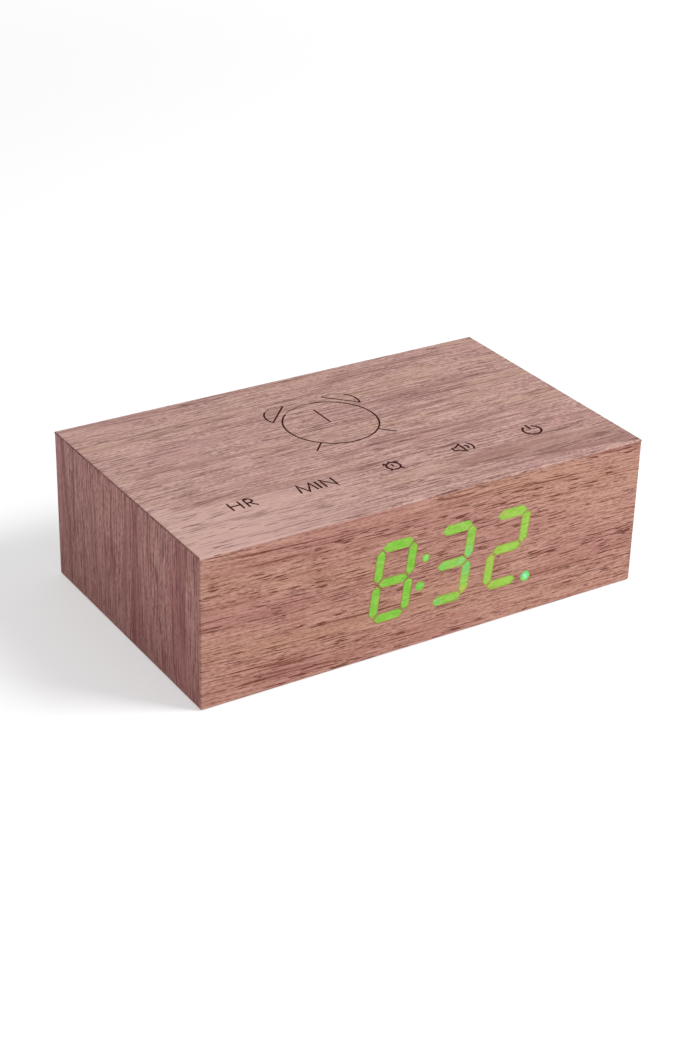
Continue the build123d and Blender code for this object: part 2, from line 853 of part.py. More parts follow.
with BuildPart() as ribbon_socket:
    with BuildSketch(Plane.XY.offset(ribbon_socket_top)):
        with Locations((0, ribbon_end_y)):
            Rectangle(ribbon_socket_width, ribbon_socket_depth)
    extrude(amount=-ribbon_socket_height)
ribbon_socket.part.label = "ribbon_socket"

# ================================================================ battery
cell_radius = cell_diameter / 2
cradle_radius = cell_radius + cell_play
cell_z = wall + holder_floor + cradle_radius
holder_top = cell_z + holder_rise
cell_start = holder_x - cell_length / 2
well_length = cell_length + 2 * contact_space

with BuildPart() as battery_holder:
    with BuildSketch(Plane.XY.offset(wall)):
        with Locations((holder_x, holder_y)):
            Rectangle(holder_length, holder_width)
    extrude(amount=holder_top - wall)
    with BuildSketch(Plane.YZ.offset(holder_x)):
        with Locations((holder_y, cell_z)):
            Circle(cradle_radius)
            Rectangle(2 * cradle_radius, 2 * holder_rise, align=(Align.CENTER, Align.MIN))
    extrude(amount=well_length / 2, both=True, mode=Mode.SUBTRACT)
    with BuildSketch(Plane.XY.offset(holder_top)):
        with Locations((holder_x, holder_y)):
            Rectangle(notch_length, 2 * holder_width)
    extrude(amount=-notch_depth, mode=Mode.SUBTRACT)
    with Locations(Plane.XY.offset(cell_z)):
        with Locations(*holder_screw_spots):
            CounterBoreHole(
                holder_screw_radius + thread_gap, holder_screw_head + thread_gap,
                counter_bore_depth=cradle_radius + holder_screw_head_height, depth=cell_z,
            )
battery_holder.part.label = "battery_holder"

holder_screws = screws(
    Plane.XY.offset(wall + holder_floor - holder_screw_head_height), holder_screw_spots,
    holder_screw_radius, holder_screw_head, holder_screw_head_height, holder_screw_length, False,
)
holder_screws.part.label = "holder_screws"

with BuildPart() as battery_cell:
    with BuildSketch(Plane.YZ.offset(cell_start)):
        with Locations((holder_y, cell_z)):
            Circle(cell_radius)
    extrude(amount=cell_length - button_height)
    with BuildSketch(Plane.YZ.offset(cell_start + cell_length - button_height)):
        with Locations((holder_y, cell_z)):
            Circle(button_radius)
    extrude(amount=button_height)
    with BuildSketch(Plane.YZ.offset(cell_start + cell_length - crimp_from_end)):
        with Locations((holder_y, cell_z)):
            Circle(cell_radius)
            Circle(cell_radius - crimp_depth, mode=Mode.SUBTRACT)
    extrude(amount=crimp_width, mode=Mode.SUBTRACT)
battery_cell.part.label = "battery_cell"

with BuildPart() as battery_contacts:
    for side in (-1, 1):
        cell_end = holder_x + side * cell_length / 2
        inner_u = contact_space - contact_gap - strip_thickness / 2
        outer_u = contact_space + holder_end + contact_gap + strip_thickness / 2
        over_z = holder_top + contact_gap + strip_thickness / 2
        strip = [
            (inner_u, cell_z - holder_rise),
            (strip_thickness / 2, cell_z),
            (inner_u, cell_z + holder_rise / 2),
            (inner_u, over_z),
            (outer_u, over_z),
            (outer_u, over_z - tab_drop),
        ]
        with BuildSketch(Plane.XZ.offset(-holder_y)):
            with BuildLine():
                FilletPolyline(*[(cell_end + side * u, z) for u, z in strip], radius=strip_thickness)
            trace(line_width=strip_thickness)
        extrude(amount=contact_width / 2, both=True)
battery_contacts.part.label = "battery_contacts"

# ================================================================ charging port
charge_top = port_z - shell_height / 2
charge_under = charge_top - pcb
socket_mouth = inner_rear - shell_setback
charge_edge = socket_mouth - socket_overhang
charge_y = charge_edge - charge_depth / 2
charge_screw_x = charge_width / 2 - charge_pillar_inset
charge_screw_y = charge_depth / 2 - charge_pillar_inset
charge_screw_spots = [
    (port_x + side * charge_screw_x, charge_y + side * charge_screw_y) for side in (-1, 1)
]

with BuildPart() as charge_board:
    with BuildSketch(Plane.XY.offset(charge_under)):
        with Locations((port_x, charge_y)):
            Rectangle(charge_width, charge_depth)
        with Locations(*charge_screw_spots):
            Circle(small_screw_radius + thread_gap, mode=Mode.SUBTRACT)
    extrude(amount=pcb)
charge_board.part.label = "charge_board"

with BuildPart() as charge_pillars:
    with BuildSketch(Plane.XY.offset(wall)):
        with Locations(*charge_screw_spots):
            RegularPolygon(charge_pillar_radius, pillar_sides)
    extrude(amount=charge_under - wall)
    with BuildSketch(Plane.XY.offset(charge_under)):
        with Locations(*charge_screw_spots):
            Circle(small_screw_radius + thread_gap)
    extrude(amount=pcb - small_screw_length - screw_end_play, mode=Mode.SUBTRACT)
charge_pillars.part.label = "charge_pillars"

charge_screws = screws(
    Plane.XY.offset(charge_top), charge_screw_spots,
    small_screw_radius, small_screw_head, small_screw_head_height, small_screw_length, False,
)
charge_screws.part.label = "charge_screws"

with BuildPart() as port_shell:
    with BuildSketch(upright(socket_mouth)) as shell_outline:
        with Locations((port_x, port_z)):
            Rectangle(shell_width, shell_height)
        chamfer(shell_outline.vertices().group_by(Axis.Z)[0], shell_corner)
    extrude(amount=shell_depth)
    offset(amount=-shell_wall, openings=port_shell.faces().sort_by(Axis.Y)[-1])
port_shell.part.label = "port_shell"

with BuildPart() as port_tongue:
    with BuildSketch(upright(socket_mouth - 2 * shell_wall)):
        with Locations((port_x, port_z + tongue_thickness / 2)):
            Rectangle(tongue_width, tongue_thickness)
    extrude(amount=shell_depth - 3 * shell_wall)
port_tongue.part.label = "port_tongue"

charge_chip_face = Plane.XY.offset(charge_top).move(Location((port_x, charge_y, 0)))
charge_chip = chip(
    charge_chip_face, small_chip_length, small_chip_width, small_chip_height, small_chip_leg_count
)
charge_chip.part.label = "charge_chip"

# ================================================================ microphone
with BuildPart() as microphone:
    with BuildSketch(upright(inner_rear)):
        with Locations((microphone_x, microphone_z)):
            Circle(microphone_radius)
    extrude(amount=-microphone_height)
microphone.part.label = "microphone"

# ================================================================ inner leads
tab_z = holder_top - tab_drop / 2
tab_reach = holder_length / 2 + contact_gap + strip_thickness
battery_lead_x = port_x + lead_from_port
plus_end_y = charge_y - lead_spread
minus_end_y = charge_y + lead_spread
minus_turn_x = holder_x - tab_reach - lead_turn

battery_plus_lead = lead(
    [
        (holder_x + tab_reach, holder_y, tab_z),
        (battery_lead_x, holder_y, tab_z),
        (battery_lead_x, plus_end_y, tab_z),
        (battery_lead_x, plus_end_y, charge_top),
    ],
    lead_bend,
)
battery_plus_lead.part.label = "battery_plus_lead"

battery_minus_lead = lead(
    [
        (holder_x - tab_reach, holder_y, tab_z),
        (minus_turn_x, holder_y, tab_z),
        (minus_turn_x, minus_end_y, tab_z),
        (battery_lead_x, minus_end_y, tab_z),
        (battery_lead_x, minus_end_y, charge_top),
    ],
    lead_bend,
)
battery_minus_lead.part.label = "battery_minus_lead"

plug_rear = main_rear + socket_floor + plug_length
power_start_y = charge_y - charge_depth / 2 + power_lead_inset
power_leads = [
    lead(
        [
            (port_x + side * power_spacing / 2, power_start_y, charge_top),
            (port_x + side * power_spacing / 2, power_start_y, charge_top + power_lead_rise),
            (power_x + side * power_spacing / 2, plug_rear + power_lead_reach, power_z + power_lead_over),
            (power_x + side * power_spacing / 2, plug_rear + lead_turn, power_z),
            (power_x + side * power_spacing / 2, plug_rear, power_z),
        ],
        lead_bend,
    )
    for side in (-1, 1)
]
power_plus_lead, power_minus_lead = power_leads
power_plus_lead.part.label = "power_plus_lead"
power_minus_lead.part.label = "power_minus_lead"

microphone_end_x = microphone_end_from_end - inner_x
microphone_end_z = mid_z + microphone_end_rise

with BuildPart() as microphone_leads:
    for shift in (-power_spacing / 2, power_spacing / 2):
        add(
            lead(
                [
                    (microphone_x + shift, inner_rear, microphone_z),
                    (microphone_x + shift, inner_rear - microphone_lead_out, microphone_z),
                    (microphone_end_x + shift, main_rear + microphone_lead_in, microphone_end_z),
                    (microphone_end_x + shift, main_rear, microphone_end_z),
                ],
                2 * lead_bend,
            ).part
        )
microphone_leads.part.label = "microphone_leads"

# ================================================================ one STEP file per piece
pieces = [
    top_veneer, bottom_veneer, front_veneer, left_end_veneer, right_end_veneer, rear_edge_banding,
    top_board, bottom_board, front_board, left_end_board, right_end_board,
    corner_blocks, rear_board, rear_veneer, rear_cover_screws,
    display_housing, segment_diffusers, display_board, segment_leds, housing_screws,
    main_board, board_pillars, board_screws, display_pins, pin_headers,
    controller_chip, driver_chip, clock_crystal, capacitors, board_resistors, buzzer,
    power_socket, power_plug, switch_can, switch_base, switch_wires, switch_ball,
    touch_film, touch_pads, touch_board, touch_chip, touch_ribbon, ribbon_socket,
    battery_holder, holder_screws, battery_cell, battery_contacts,
    charge_board, charge_pillars, charge_screws, port_shell, port_tongue, charge_chip,
    microphone, battery_plus_lead, battery_minus_lead, power_plus_lead, power_minus_lead, microphone_leads,
]
os.makedirs("parts", exist_ok=True)
for piece in pieces:
    export_step(piece.part, f"parts/{piece.part.label}.step")
print(f"{len(pieces)} pieces; the ball of the flip switch travels {ball_travel:.2f} mm")
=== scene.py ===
# %% [markdown]
# # A walnut block clock
#
# This lesson dresses a finished CAD model of an alarm clock. The clock is a sharp-edged wooden block.
# It has no dial: the time shines through the front veneer, and five touch keys are engraved in the top.
# The CAD model already holds every piece at its real size, so here we add what CAD can't show:
# the walnut with its pores and figure, the burnt grooves, and the light that comes through the wood.

import math

import bmesh
import bpy
from mathutils import Matrix, Vector
from mathutils.geometry import convex_hull_2d


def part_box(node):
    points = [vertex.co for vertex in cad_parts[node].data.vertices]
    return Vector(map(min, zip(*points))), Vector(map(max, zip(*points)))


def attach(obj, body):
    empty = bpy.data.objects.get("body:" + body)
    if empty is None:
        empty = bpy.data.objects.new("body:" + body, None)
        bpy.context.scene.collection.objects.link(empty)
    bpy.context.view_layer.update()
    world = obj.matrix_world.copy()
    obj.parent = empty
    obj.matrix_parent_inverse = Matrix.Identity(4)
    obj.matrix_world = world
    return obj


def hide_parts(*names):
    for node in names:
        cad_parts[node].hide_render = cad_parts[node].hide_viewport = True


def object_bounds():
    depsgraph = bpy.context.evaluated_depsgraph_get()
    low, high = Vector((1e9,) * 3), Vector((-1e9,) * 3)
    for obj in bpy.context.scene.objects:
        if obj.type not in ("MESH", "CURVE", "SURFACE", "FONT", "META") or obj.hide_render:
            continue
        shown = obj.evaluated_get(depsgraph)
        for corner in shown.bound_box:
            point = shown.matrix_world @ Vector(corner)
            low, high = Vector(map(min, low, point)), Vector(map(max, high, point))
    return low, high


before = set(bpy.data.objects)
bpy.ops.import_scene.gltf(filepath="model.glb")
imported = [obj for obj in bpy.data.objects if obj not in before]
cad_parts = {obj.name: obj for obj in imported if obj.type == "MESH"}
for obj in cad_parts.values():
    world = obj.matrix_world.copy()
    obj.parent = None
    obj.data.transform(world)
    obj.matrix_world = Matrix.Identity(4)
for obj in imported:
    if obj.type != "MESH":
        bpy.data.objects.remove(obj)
cad_low, cad_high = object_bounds()
print("CAD nodes:", len(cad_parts), "box:", tuple(cad_low), tuple(cad_high))

# %% [markdown]
# ## The sizes that everything hangs on
#
# Blender works in metres, but wood is easier to think about in millimetres, so one name turns them over.
# Most sizes below are read from a CAD piece. If the CAD model changes, the dressing follows it.
# HAIR is a length too small to see. It stands in for zero where two places are compared.

# %% Sizes read from the CAD pieces
MM = 0.001
BODY = "clock_body"
HAIR = 1e-6
SENSOR_WIDTH = 36

front_low, front_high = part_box("front_veneer")
top_low, top_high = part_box("top_veneer")
pads_low, pads_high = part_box("touch_pads")

left, right = cad_low.x, cad_high.x
front, rear = cad_low.y, cad_high.y
clock_top = cad_high.z
veneer = top_high.z - top_low.z
middle_z = (cad_low.z + cad_high.z) / 2
pad_size = pads_high.y - pads_low.y
key_pitch = (pads_high.x - pads_low.x - pad_size) / 4
key_y = (pads_low.y + pads_high.y) / 2
print(f"veneer {veneer / MM:.2f} mm, keys {key_pitch / MM:.1f} mm apart")
print(f"the keys lie {(key_y - front) / MM:.1f} mm from the front")

# %% [markdown]
# ## The camera
#
# The clock is seen from its front left corner and from above. A long lens keeps the edges nearly parallel,
# as in a product picture. The camera is turned by a small roll, so the near corner leans a little.
# We build its axes by hand: `back` points from the clock to the camera, and the rest follows
# by cross products.


# %% Camera
def aim_camera(target, distance, azimuth, elevation, roll, lens):
    """A camera that looks at target from that far, with its three turns in degrees."""
    a, e, r = (math.radians(turn) for turn in (azimuth, elevation, roll))
    back = Vector((math.sin(a) * math.cos(e), -math.cos(a) * math.cos(e), math.sin(e)))
    level = Vector((math.cos(a), math.sin(a), 0))
    across = level * math.cos(r) + back.cross(level) * math.sin(r)
    data = bpy.data.cameras.new("camera")
    data.lens = lens
    data.sensor_width = SENSOR_WIDTH
    camera = bpy.data.objects.new("camera", data)
    bpy.context.collection.objects.link(camera)
    turn = Matrix((across, back.cross(across), back)).transposed().to_4x4()
    camera.matrix_world = Matrix.Translation(target + back * distance) @ turn
    bpy.context.scene.camera = camera
    return camera


camera = aim_camera(
    target=Vector((0.4 * MM, 0, 17.7 * MM)),
    distance=0.6495,
    azimuth=-32.73,
    elevation=27.85,
    roll=1.53,
    lens=73.2,
)
print("camera at", tuple(round(c, 3) for c in camera.matrix_world.translation))

# %% [markdown]
# ## Small tools for shader nodes
#
# A procedural material is a graph of nodes. Adding and joining nodes one by one takes many lines,
# so each helper below makes one kind of node, joins its inputs, and hands back its output.
# A value can be a plain number or the output of another node, and the helper takes both.


# %% Helpers that add shader nodes
def srgb(red, green, blue):
    """A colour as a paint chart gives it, 0 to 255, turned into the linear light that nodes use."""
    def linear(value):
        value /= 255
        return value / 12.92 if value <= 0.04045 else ((value + 0.055) / 1.055) ** 2.4
    return (linear(red), linear(green), linear(blue), 1)


def feed(tree, socket, value):
    """Joins value to the socket if it is another node's output, or sets it if it is plain."""
    if isinstance(value, bpy.types.NodeSocket):
        tree.links.new(value, socket)
    else:
        socket.default_value = value


def calc(tree, operation, *values, clamp=False):
    """One step of arithmetic."""
    node = tree.nodes.new("ShaderNodeMath")
    node.operation = operation
    node.use_clamp = clamp
    for socket, value in zip(node.inputs, values):
        feed(tree, socket, value)
    return node.outputs[0]


def fade(tree, value, start, end):
    """0 at start, 1 at end, and a smooth change between them."""
    node = tree.nodes.new("ShaderNodeMapRange")
    node.interpolation_type = "SMOOTHSTEP"
    feed(tree, node.inputs["Value"], value)
    feed(tree, node.inputs["From Min"], start)
    feed(tree, node.inputs["From Max"], end)
    return node.outputs["Result"]


def noise(tree, place, scale=1.0, detail=2.0, roughness=0.5, distortion=0.0):
    """Soft random patches, from 0 to 1, about 1 / scale in size."""
    node = tree.nodes.new("ShaderNodeTexNoise")
    feed(tree, node.inputs["Vector"], place)
    node.inputs["Scale"].default_value = scale
    node.inputs["Detail"].default_value = detail
    node.inputs["Roughness"].default_value = roughness
    node.inputs["Distortion"].default_value = distortion
    return node.outputs["Fac"]


def spot(tree, x, y, z):
    """Three numbers as one place."""
    node = tree.nodes.new("ShaderNodeCombineXYZ")
    for socket, value in zip(node.inputs, (x, y, z)):
        feed(tree, socket, value)
    return node.outputs[0]


def blend_colours(tree, share, first, second):
    """The first colour where share is 0, the second where it is 1."""
    node = tree.nodes.new("ShaderNodeMix")
    node.data_type = "RGBA"
    feed(tree, node.inputs[0], share)
    feed(tree, node.inputs[6], first)
    feed(tree, node.inputs[7], second)
    return node.outputs[2]


def start_material(name):
    """An empty material with its Principled shader, and its shader tree."""
    material = bpy.data.materials.new(name)
    material.use_nodes = True
    return material, material.node_tree, material.node_tree.nodes["Principled BSDF"]


def add_bump(tree, shader, height, depth):
    """Turns a height, from 0 to 1, into a shallow relief of that depth in metres."""
    node = tree.nodes.new("ShaderNodeBump")
    node.inputs["Distance"].default_value = depth
    node.inputs["Strength"].default_value = 1.0
    feed(tree, node.inputs["Height"], height)
    tree.links.new(node.outputs[0], shader.inputs["Normal"])


# %% [markdown]
# ## Walnut veneer
#
# Walnut is not one brown. Close up, it is a rosy tan ground with soft bands of growth rings, a fine silky
# fibre, and the open pores of the wood: short dark-brown dashes that all run one way and come in clumps.
# All of these are noise, stretched along the grain. A noise that is squeezed across the grain and stretched
# along it turns from spots into streaks. One sheet of veneer lies flat, so two directions are enough:
# `along` the grain and `across` it, both in millimetres. Each sheet starts somewhere else in the noise,
# so no two sides of the clock look alike. The top has a figure of its own: its places are millimetres
# from the left end and from the front edge.
# The top also gets painted light that pales its left part, and the left end gets painted shade towards the
# bottom.


# %% Walnut veneer
WALNUT = {
    "pale": srgb(210, 172, 160),
    "ground": srgb(186, 148, 136),
    "deep": srgb(144, 101, 91),
    "line": srgb(110, 64, 53),
    "pore": srgb(94, 48, 37),
    "rosy": srgb(176, 128, 124),
    "tan": srgb(190, 152, 128),
}


def grain_axes(tree, grain, across):
    """Millimetres along the grain and across it, measured on the object."""
    place = tree.nodes.new("ShaderNodeTexCoord").outputs["Object"]
    parts = tree.nodes.new("ShaderNodeSeparateXYZ")
    tree.links.new(place, parts.inputs[0])
    return [calc(tree, "MULTIPLY", parts.outputs[axis], 1 / MM) for axis in (grain, across)]


def streaks(tree, u, v, seed, length, width, detail=2.0, roughness=0.5):
    """Noise drawn out along the grain. One patch is about half of length by half of width, in millimetres."""
    place = spot(tree, calc(tree, "MULTIPLY", u, 1 / length), calc(tree, "MULTIPLY", v, 1 / width), seed)
    return noise(tree, place, detail=detail, roughness=roughness)


def dark_marks(tree, marks, clumps, level, clumping, softness):
    """Where marks rises above a level that falls inside a clump: 0 for clear wood, 1 inside a mark."""
    threshold = calc(tree, "SUBTRACT", level, calc(tree, "MULTIPLY", clumps, clumping))
    return fade(tree, calc(tree, "SUBTRACT", marks, threshold), 0.0, softness)


def walnut(name, grain, across, seed, figure=None, lean=0.0, silk=1.0, pores=1.0, bands=1.0, tan=1.0,
           dash=0.56, hue=0.5, saturation=1.0, value=1.0):
    """Veneer whose grain runs along one object axis. figure adds large shapes of its own to one sheet, and
    light and shade painted on it.
    """
    material, tree, shader = start_material(name)
    u, v = grain_axes(tree, grain, across)
    wander = calc(tree, "MULTIPLY", streaks(tree, u, v, seed, 110, 30, detail=1), 6.0)
    straight = v
    v = calc(tree, "ADD", calc(tree, "ADD", v, calc(tree, "MULTIPLY", u, lean)), wander)

    clouds = streaks(tree, u, v, seed + 2, 70, 12, detail=2)
    growth = streaks(tree, u, v, seed + 4, 75, 3.2, detail=2, roughness=0.6)
    fibre = streaks(tree, u, v, seed + 6, 14, 0.62, detail=2, roughness=0.65)
    speck = streaks(tree, u, v, seed + 8, 1.6, 0.48, detail=1)

    shade = calc(tree, "ADD", calc(tree, "MULTIPLY", fibre, 0.62), calc(tree, "MULTIPLY", speck, 0.38))
    dark_silk = calc(tree, "MULTIPLY", fade(tree, shade, 0.52, 0.38), silk)
    colour = blend_colours(tree, dark_silk, WALNUT["ground"], WALNUT["deep"])
    pale_silk = calc(tree, "MULTIPLY", fade(tree, shade, 0.48, 0.62), silk)
    colour = blend_colours(tree, pale_silk, colour, WALNUT["pale"])
    tan_share = calc(tree, "MULTIPLY", fade(tree, clouds, 0.52, 0.30), 0.4 * tan)
    colour = blend_colours(tree, tan_share, colour, WALNUT["tan"])
    rosy_share = calc(tree, "MULTIPLY", fade(tree, clouds, 0.50, 0.68), 0.36)
    colour = blend_colours(tree, rosy_share, colour, WALNUT["rosy"])
    band_share = calc(tree, "MULTIPLY", fade(tree, growth, 0.50, 0.70), 0.55 * bands)
    colour = blend_colours(tree, band_share, colour, WALNUT["deep"])
    if figure:
        colour = figure(tree, u, straight, colour)

    clumps = streaks(tree, u, v, seed + 10, 50, 5.0, detail=2, roughness=0.6)
    dashes = streaks(tree, u, v, seed + 12, 16 * dash, dash, detail=2, roughness=0.55)
    threads = streaks(tree, u, v, seed + 14, 34, 0.80, detail=1, roughness=0.6)
    long_lines = dark_marks(tree, threads, growth, 0.80, 0.32, 0.06)
    colour = blend_colours(tree, calc(tree, "MULTIPLY", long_lines, 0.75 * pores), colour, WALNUT["line"])
    pits = dark_marks(tree, dashes, clumps, 0.78, 0.38, 0.035)
    colour = blend_colours(tree, calc(tree, "MULTIPLY", pits, 0.80 * pores), colour, WALNUT["pore"])

    tint = tree.nodes.new("ShaderNodeHueSaturation")
    tint.inputs["Hue"].default_value = hue
    tint.inputs["Saturation"].default_value = saturation
    tint.inputs["Value"].default_value = value
    tree.links.new(colour, tint.inputs["Color"])
    tree.links.new(tint.outputs[0], shader.inputs["Base Color"])
    roughness = calc(tree, "SUBTRACT", 0.74, calc(tree, "MULTIPLY", shade, 0.2))
    tree.links.new(roughness, shader.inputs["Roughness"])
    hollows = calc(tree, "ADD", calc(tree, "MULTIPLY", pits, 0.8), calc(tree, "MULTIPLY", long_lines, 0.5))
    add_bump(tree, shader, calc(tree, "SUBTRACT", calc(tree, "MULTIPLY", fibre, 0.4), hollows), 0.00006)
    return material


CORNER_DEPTH, CORNER_RISE = 24.0, 9.0
FLAME_TIP, FLAME_LOWER, FLAME_UPPER = 91.5, 14.0, 15.0


def top_figure_and_painted_light(tree, u, v, colour):
    """The top's figure: a paler front corner, a dark pointed flame, tan patches, and painted light at its
    left.
    """
    along = calc(tree, "SUBTRACT", u, left / MM)
    depth = calc(tree, "SUBTRACT", v, front / MM)
    # Painted light: the left part of the top is made paler, where more light seems to fall.
    painted_light_left = calc(tree, "MULTIPLY", fade(tree, along, 75, 0), 0.22)
    colour = blend_colours(tree, painted_light_left, colour, WALNUT["pale"])
    curve = calc(tree, "POWER", 0.887, along)
    edge = calc(tree, "ADD", CORNER_DEPTH, calc(tree, "MULTIPLY", CORNER_RISE, curve))
    corner_share = calc(tree, "MULTIPLY", fade(tree, calc(tree, "SUBTRACT", edge, depth), -0.4, 0.7),
                        fade(tree, along, 75, 12))
    colour = blend_colours(tree, calc(tree, "MULTIPLY", corner_share, 0.75), colour, WALNUT["pale"])
    past_tip = calc(tree, "MAXIMUM", calc(tree, "SUBTRACT", along, FLAME_TIP), 0.0)
    fall = calc(tree, "MULTIPLY", calc(tree, "POWER", past_tip, 0.6), 1.15)
    over_lower = calc(tree, "ADD", calc(tree, "SUBTRACT", depth, FLAME_LOWER), fall)
    upper_line = calc(tree, "ADD", FLAME_UPPER, calc(tree, "MULTIPLY", past_tip, 0.26))
    under_upper = calc(tree, "SUBTRACT", upper_line, depth)
    flame = calc(tree, "MULTIPLY", fade(tree, over_lower, -0.2, 0.7), fade(tree, under_upper, -0.4, 2.5))
    flame = calc(tree, "MULTIPLY", flame, fade(tree, past_tip, 0.0, 2.0))
    flame = calc(tree, "MULTIPLY", flame, fade(tree, over_lower, 22.0, 2.0))
    rim = calc(tree, "MULTIPLY", flame, fade(tree, over_lower, 1.8, 0.3))
    colour = blend_colours(tree, calc(tree, "MULTIPLY", flame, 0.50), colour, WALNUT["deep"])
    colour = blend_colours(tree, calc(tree, "MULTIPLY", rim, 0.30), colour, WALNUT["line"])
    tan_patches = streaks(tree, u, v, 77, 40, 12, detail=1)
    tan_share = calc(tree, "MULTIPLY", fade(tree, tan_patches, 0.5, 0.75), fade(tree, along, 80, 130))
    return blend_colours(tree, calc(tree, "MULTIPLY", tan_share, 0.6), colour, WALNUT["tan"])


def end_figure_and_painted_shade(tree, u, v, colour):
    """The end sheet gets painted shade towards the bottom, and two narrow dark lines run up it behind the
    middle.
    """
    height = calc(tree, "SUBTRACT", u, cad_low.z / MM)
    # Painted shade: the end sheet is darkened towards the bottom.
    painted_shade_bottom = calc(tree, "MULTIPLY", fade(tree, height, 44, -6), 0.34)
    colour = blend_colours(tree, painted_shade_bottom, colour, WALNUT["line"])
    sway = calc(tree, "MULTIPLY", streaks(tree, u, v, 31, 60, 40), 3.0)
    depth = calc(tree, "ADD", calc(tree, "SUBTRACT", rear / MM, v), sway)
    for place, width, share in ((50.5, 0.9, 0.45), (54.6, 0.7, 0.62)):
        away = calc(tree, "ABSOLUTE", calc(tree, "SUBTRACT", depth, place))
        line = calc(tree, "MULTIPLY", fade(tree, away, width, 0.0), share)
        colour = blend_colours(tree, line, colour, WALNUT["line"])
    return colour


veneer_top = walnut(
    "walnut_top", "X", "Y", 3.0, figure=top_figure_and_painted_light, silk=1.15, pores=0.85, bands=1.2, hue=0.494, value=0.94
)
veneer_front = walnut(
    "walnut_front", "X", "Z", 41.0, lean=0.03, silk=0.75, pores=1.15, bands=0.65, tan=0.7, dash=0.42,
    saturation=1.25, value=0.99
)
veneer_left = walnut(
    "walnut_left_end", "Z", "Y", 67.0, figure=end_figure_and_painted_shade, silk=1.0, pores=0.95, bands=1.4, tan=0.0,
    hue=0.484, saturation=1.18, value=1.05
)
veneer_right = walnut(
    "walnut_right_end", "Z", "Y", 95.0, silk=0.8, pores=0.7, bands=1.0, tan=0.5, saturation=1.1
)
veneer_rear = walnut(
    "walnut_rear", "X", "Z", 121.0, lean=-0.02, silk=0.7, pores=0.9, bands=0.6, dash=0.46, saturation=1.15
)
veneer_cut = walnut(
    "walnut_cut_edge", "X", "Y", 180.0, silk=1.0, pores=1.0, hue=0.485, saturation=1.3, value=0.62
)
veneer_bottom = walnut("walnut_bottom", "X", "Y", 150.0, lean=0.02, silk=0.8, pores=0.8, saturation=1.15)
print("veneers:", [m.name for m in bpy.data.materials if m.name.startswith("walnut")])


# %% [markdown]
# ## Burnt grooves
#
# The marks in the top are made to look as a laser would cut them: a shallow groove with a scorched,
# nearly black-brown floor. A scorch is uneven, so a little noise lets it vary to a warmer brown.


# %% Burnt wood in the grooves
def burnt_wood():
    """The floor and walls of a groove cut by a laser."""
    material, tree, shader = start_material("burnt_groove")
    u, v = grain_axes(tree, "X", "Y")
    patches = streaks(tree, u, v, 5.0, 2.0, 0.7, detail=3, roughness=0.7)
    colour = blend_colours(tree, fade(tree, patches, 0.35, 0.75), srgb(56, 22, 16), srgb(98, 46, 34))
    tree.links.new(colour, shader.inputs["Base Color"])
    shader.inputs["Roughness"].default_value = 0.85
    shader.inputs["Specular IOR Level"].default_value = 0.1
    add_bump(tree, shader, patches, 0.00005)
    return material


groove_finish = burnt_wood()
print("groove material:", groove_finish.name)

# %% [markdown]
# ## Strokes of the engraving
#
# A laser draws lines, so each letter and picture is a list of strokes, and a stroke is a list of points.
# Round shapes are arcs worked out by a formula. Points are millimetres from the middle of a key or of the
# picture, with x to the right and y away from the front. The letters are plain single-line capitals:
# HR and MIN set the hour and the minute. The small alarm clock, the loudspeaker and the power sign are plain
# marks for the alarm, the sound and the switch.


# %% Strokes
def arc(centre, radius, start, end, steps=None):
    """Points along part of a circle. The turns are in degrees, anticlockwise from the right."""
    steps = steps or max(4, round(abs(end - start) / 7.5))
    turns = [math.radians(start + (end - start) * i / steps) for i in range(steps + 1)]
    return [(centre[0] + radius * math.cos(t), centre[1] + radius * math.sin(t)) for t in turns]


CAP = 2.75
BASE = -2.3
DIAL_RADIUS = 14.65
BELL_INNER_X, BELL_INNER_Y = 6.9, 16.9
BELL_OUTER_X, BELL_OUTER_Y = 15.4, 8.1
BELL_BULGE = 4.2
letters_hr = [
    [(-3.9, BASE), (-3.9, CAP)],
    [(-0.3, BASE), (-0.3, CAP)],
    [(-3.9, 0.35), (-0.3, 0.35)],
    [(1.7, BASE), (1.7, CAP)],
    [(1.7, CAP), (2.9, CAP)] + arc((2.9, 1.5), 1.25, 90, -90) + [(1.7, 0.25)],
    [(2.7, 0.25), (4.7, BASE)],
]
letters_min = [
    [(-7.4, BASE), (-6.5, CAP), (-4.45, BASE), (-2.1, CAP), (-1.4, BASE)],
    [(-0.1, BASE), (-0.1, CAP)],
    [(1.7, BASE), (1.7, CAP), (5.6, BASE), (5.6, CAP)],
]
loudspeaker = [
    [(-3.8, 1.3), (-2.3, 1.3), (-0.2, CAP), (-0.2, BASE), (-2.3, -0.9), (-3.8, -0.9)],
    [(-3.8, 1.3), (-3.8, -0.9)],
    arc((-0.2, 0.2), 1.9, -42, 42),
    arc((-0.2, 0.2), 3.7, -42, 42),
]
power_mark = [arc((0, 0), 3.2, 118, 422), [(0, 0.7), (0, 4.1)]]
small_alarm = [
    arc((0.3, -0.1), 2.5, 0, 360),
    [(0.3, -0.4), (0.3, 1.4)],
    [(-2.7, 1.6), (-1.5, 2.9)],
    [(2.1, 2.9), (3.3, 1.6)],
    [(-1.5, -2.1), (-2.3, -3.0)],
    [(2.1, -2.1), (2.9, -3.0)],
    [(0.3, 2.5), (0.3, 3.6)],
]


def bell_chord(side):
    """The straight side of a bell, next to the dial."""
    return [Vector((side * BELL_INNER_X, BELL_INNER_Y)), Vector((side * BELL_OUTER_X, BELL_OUTER_Y))]


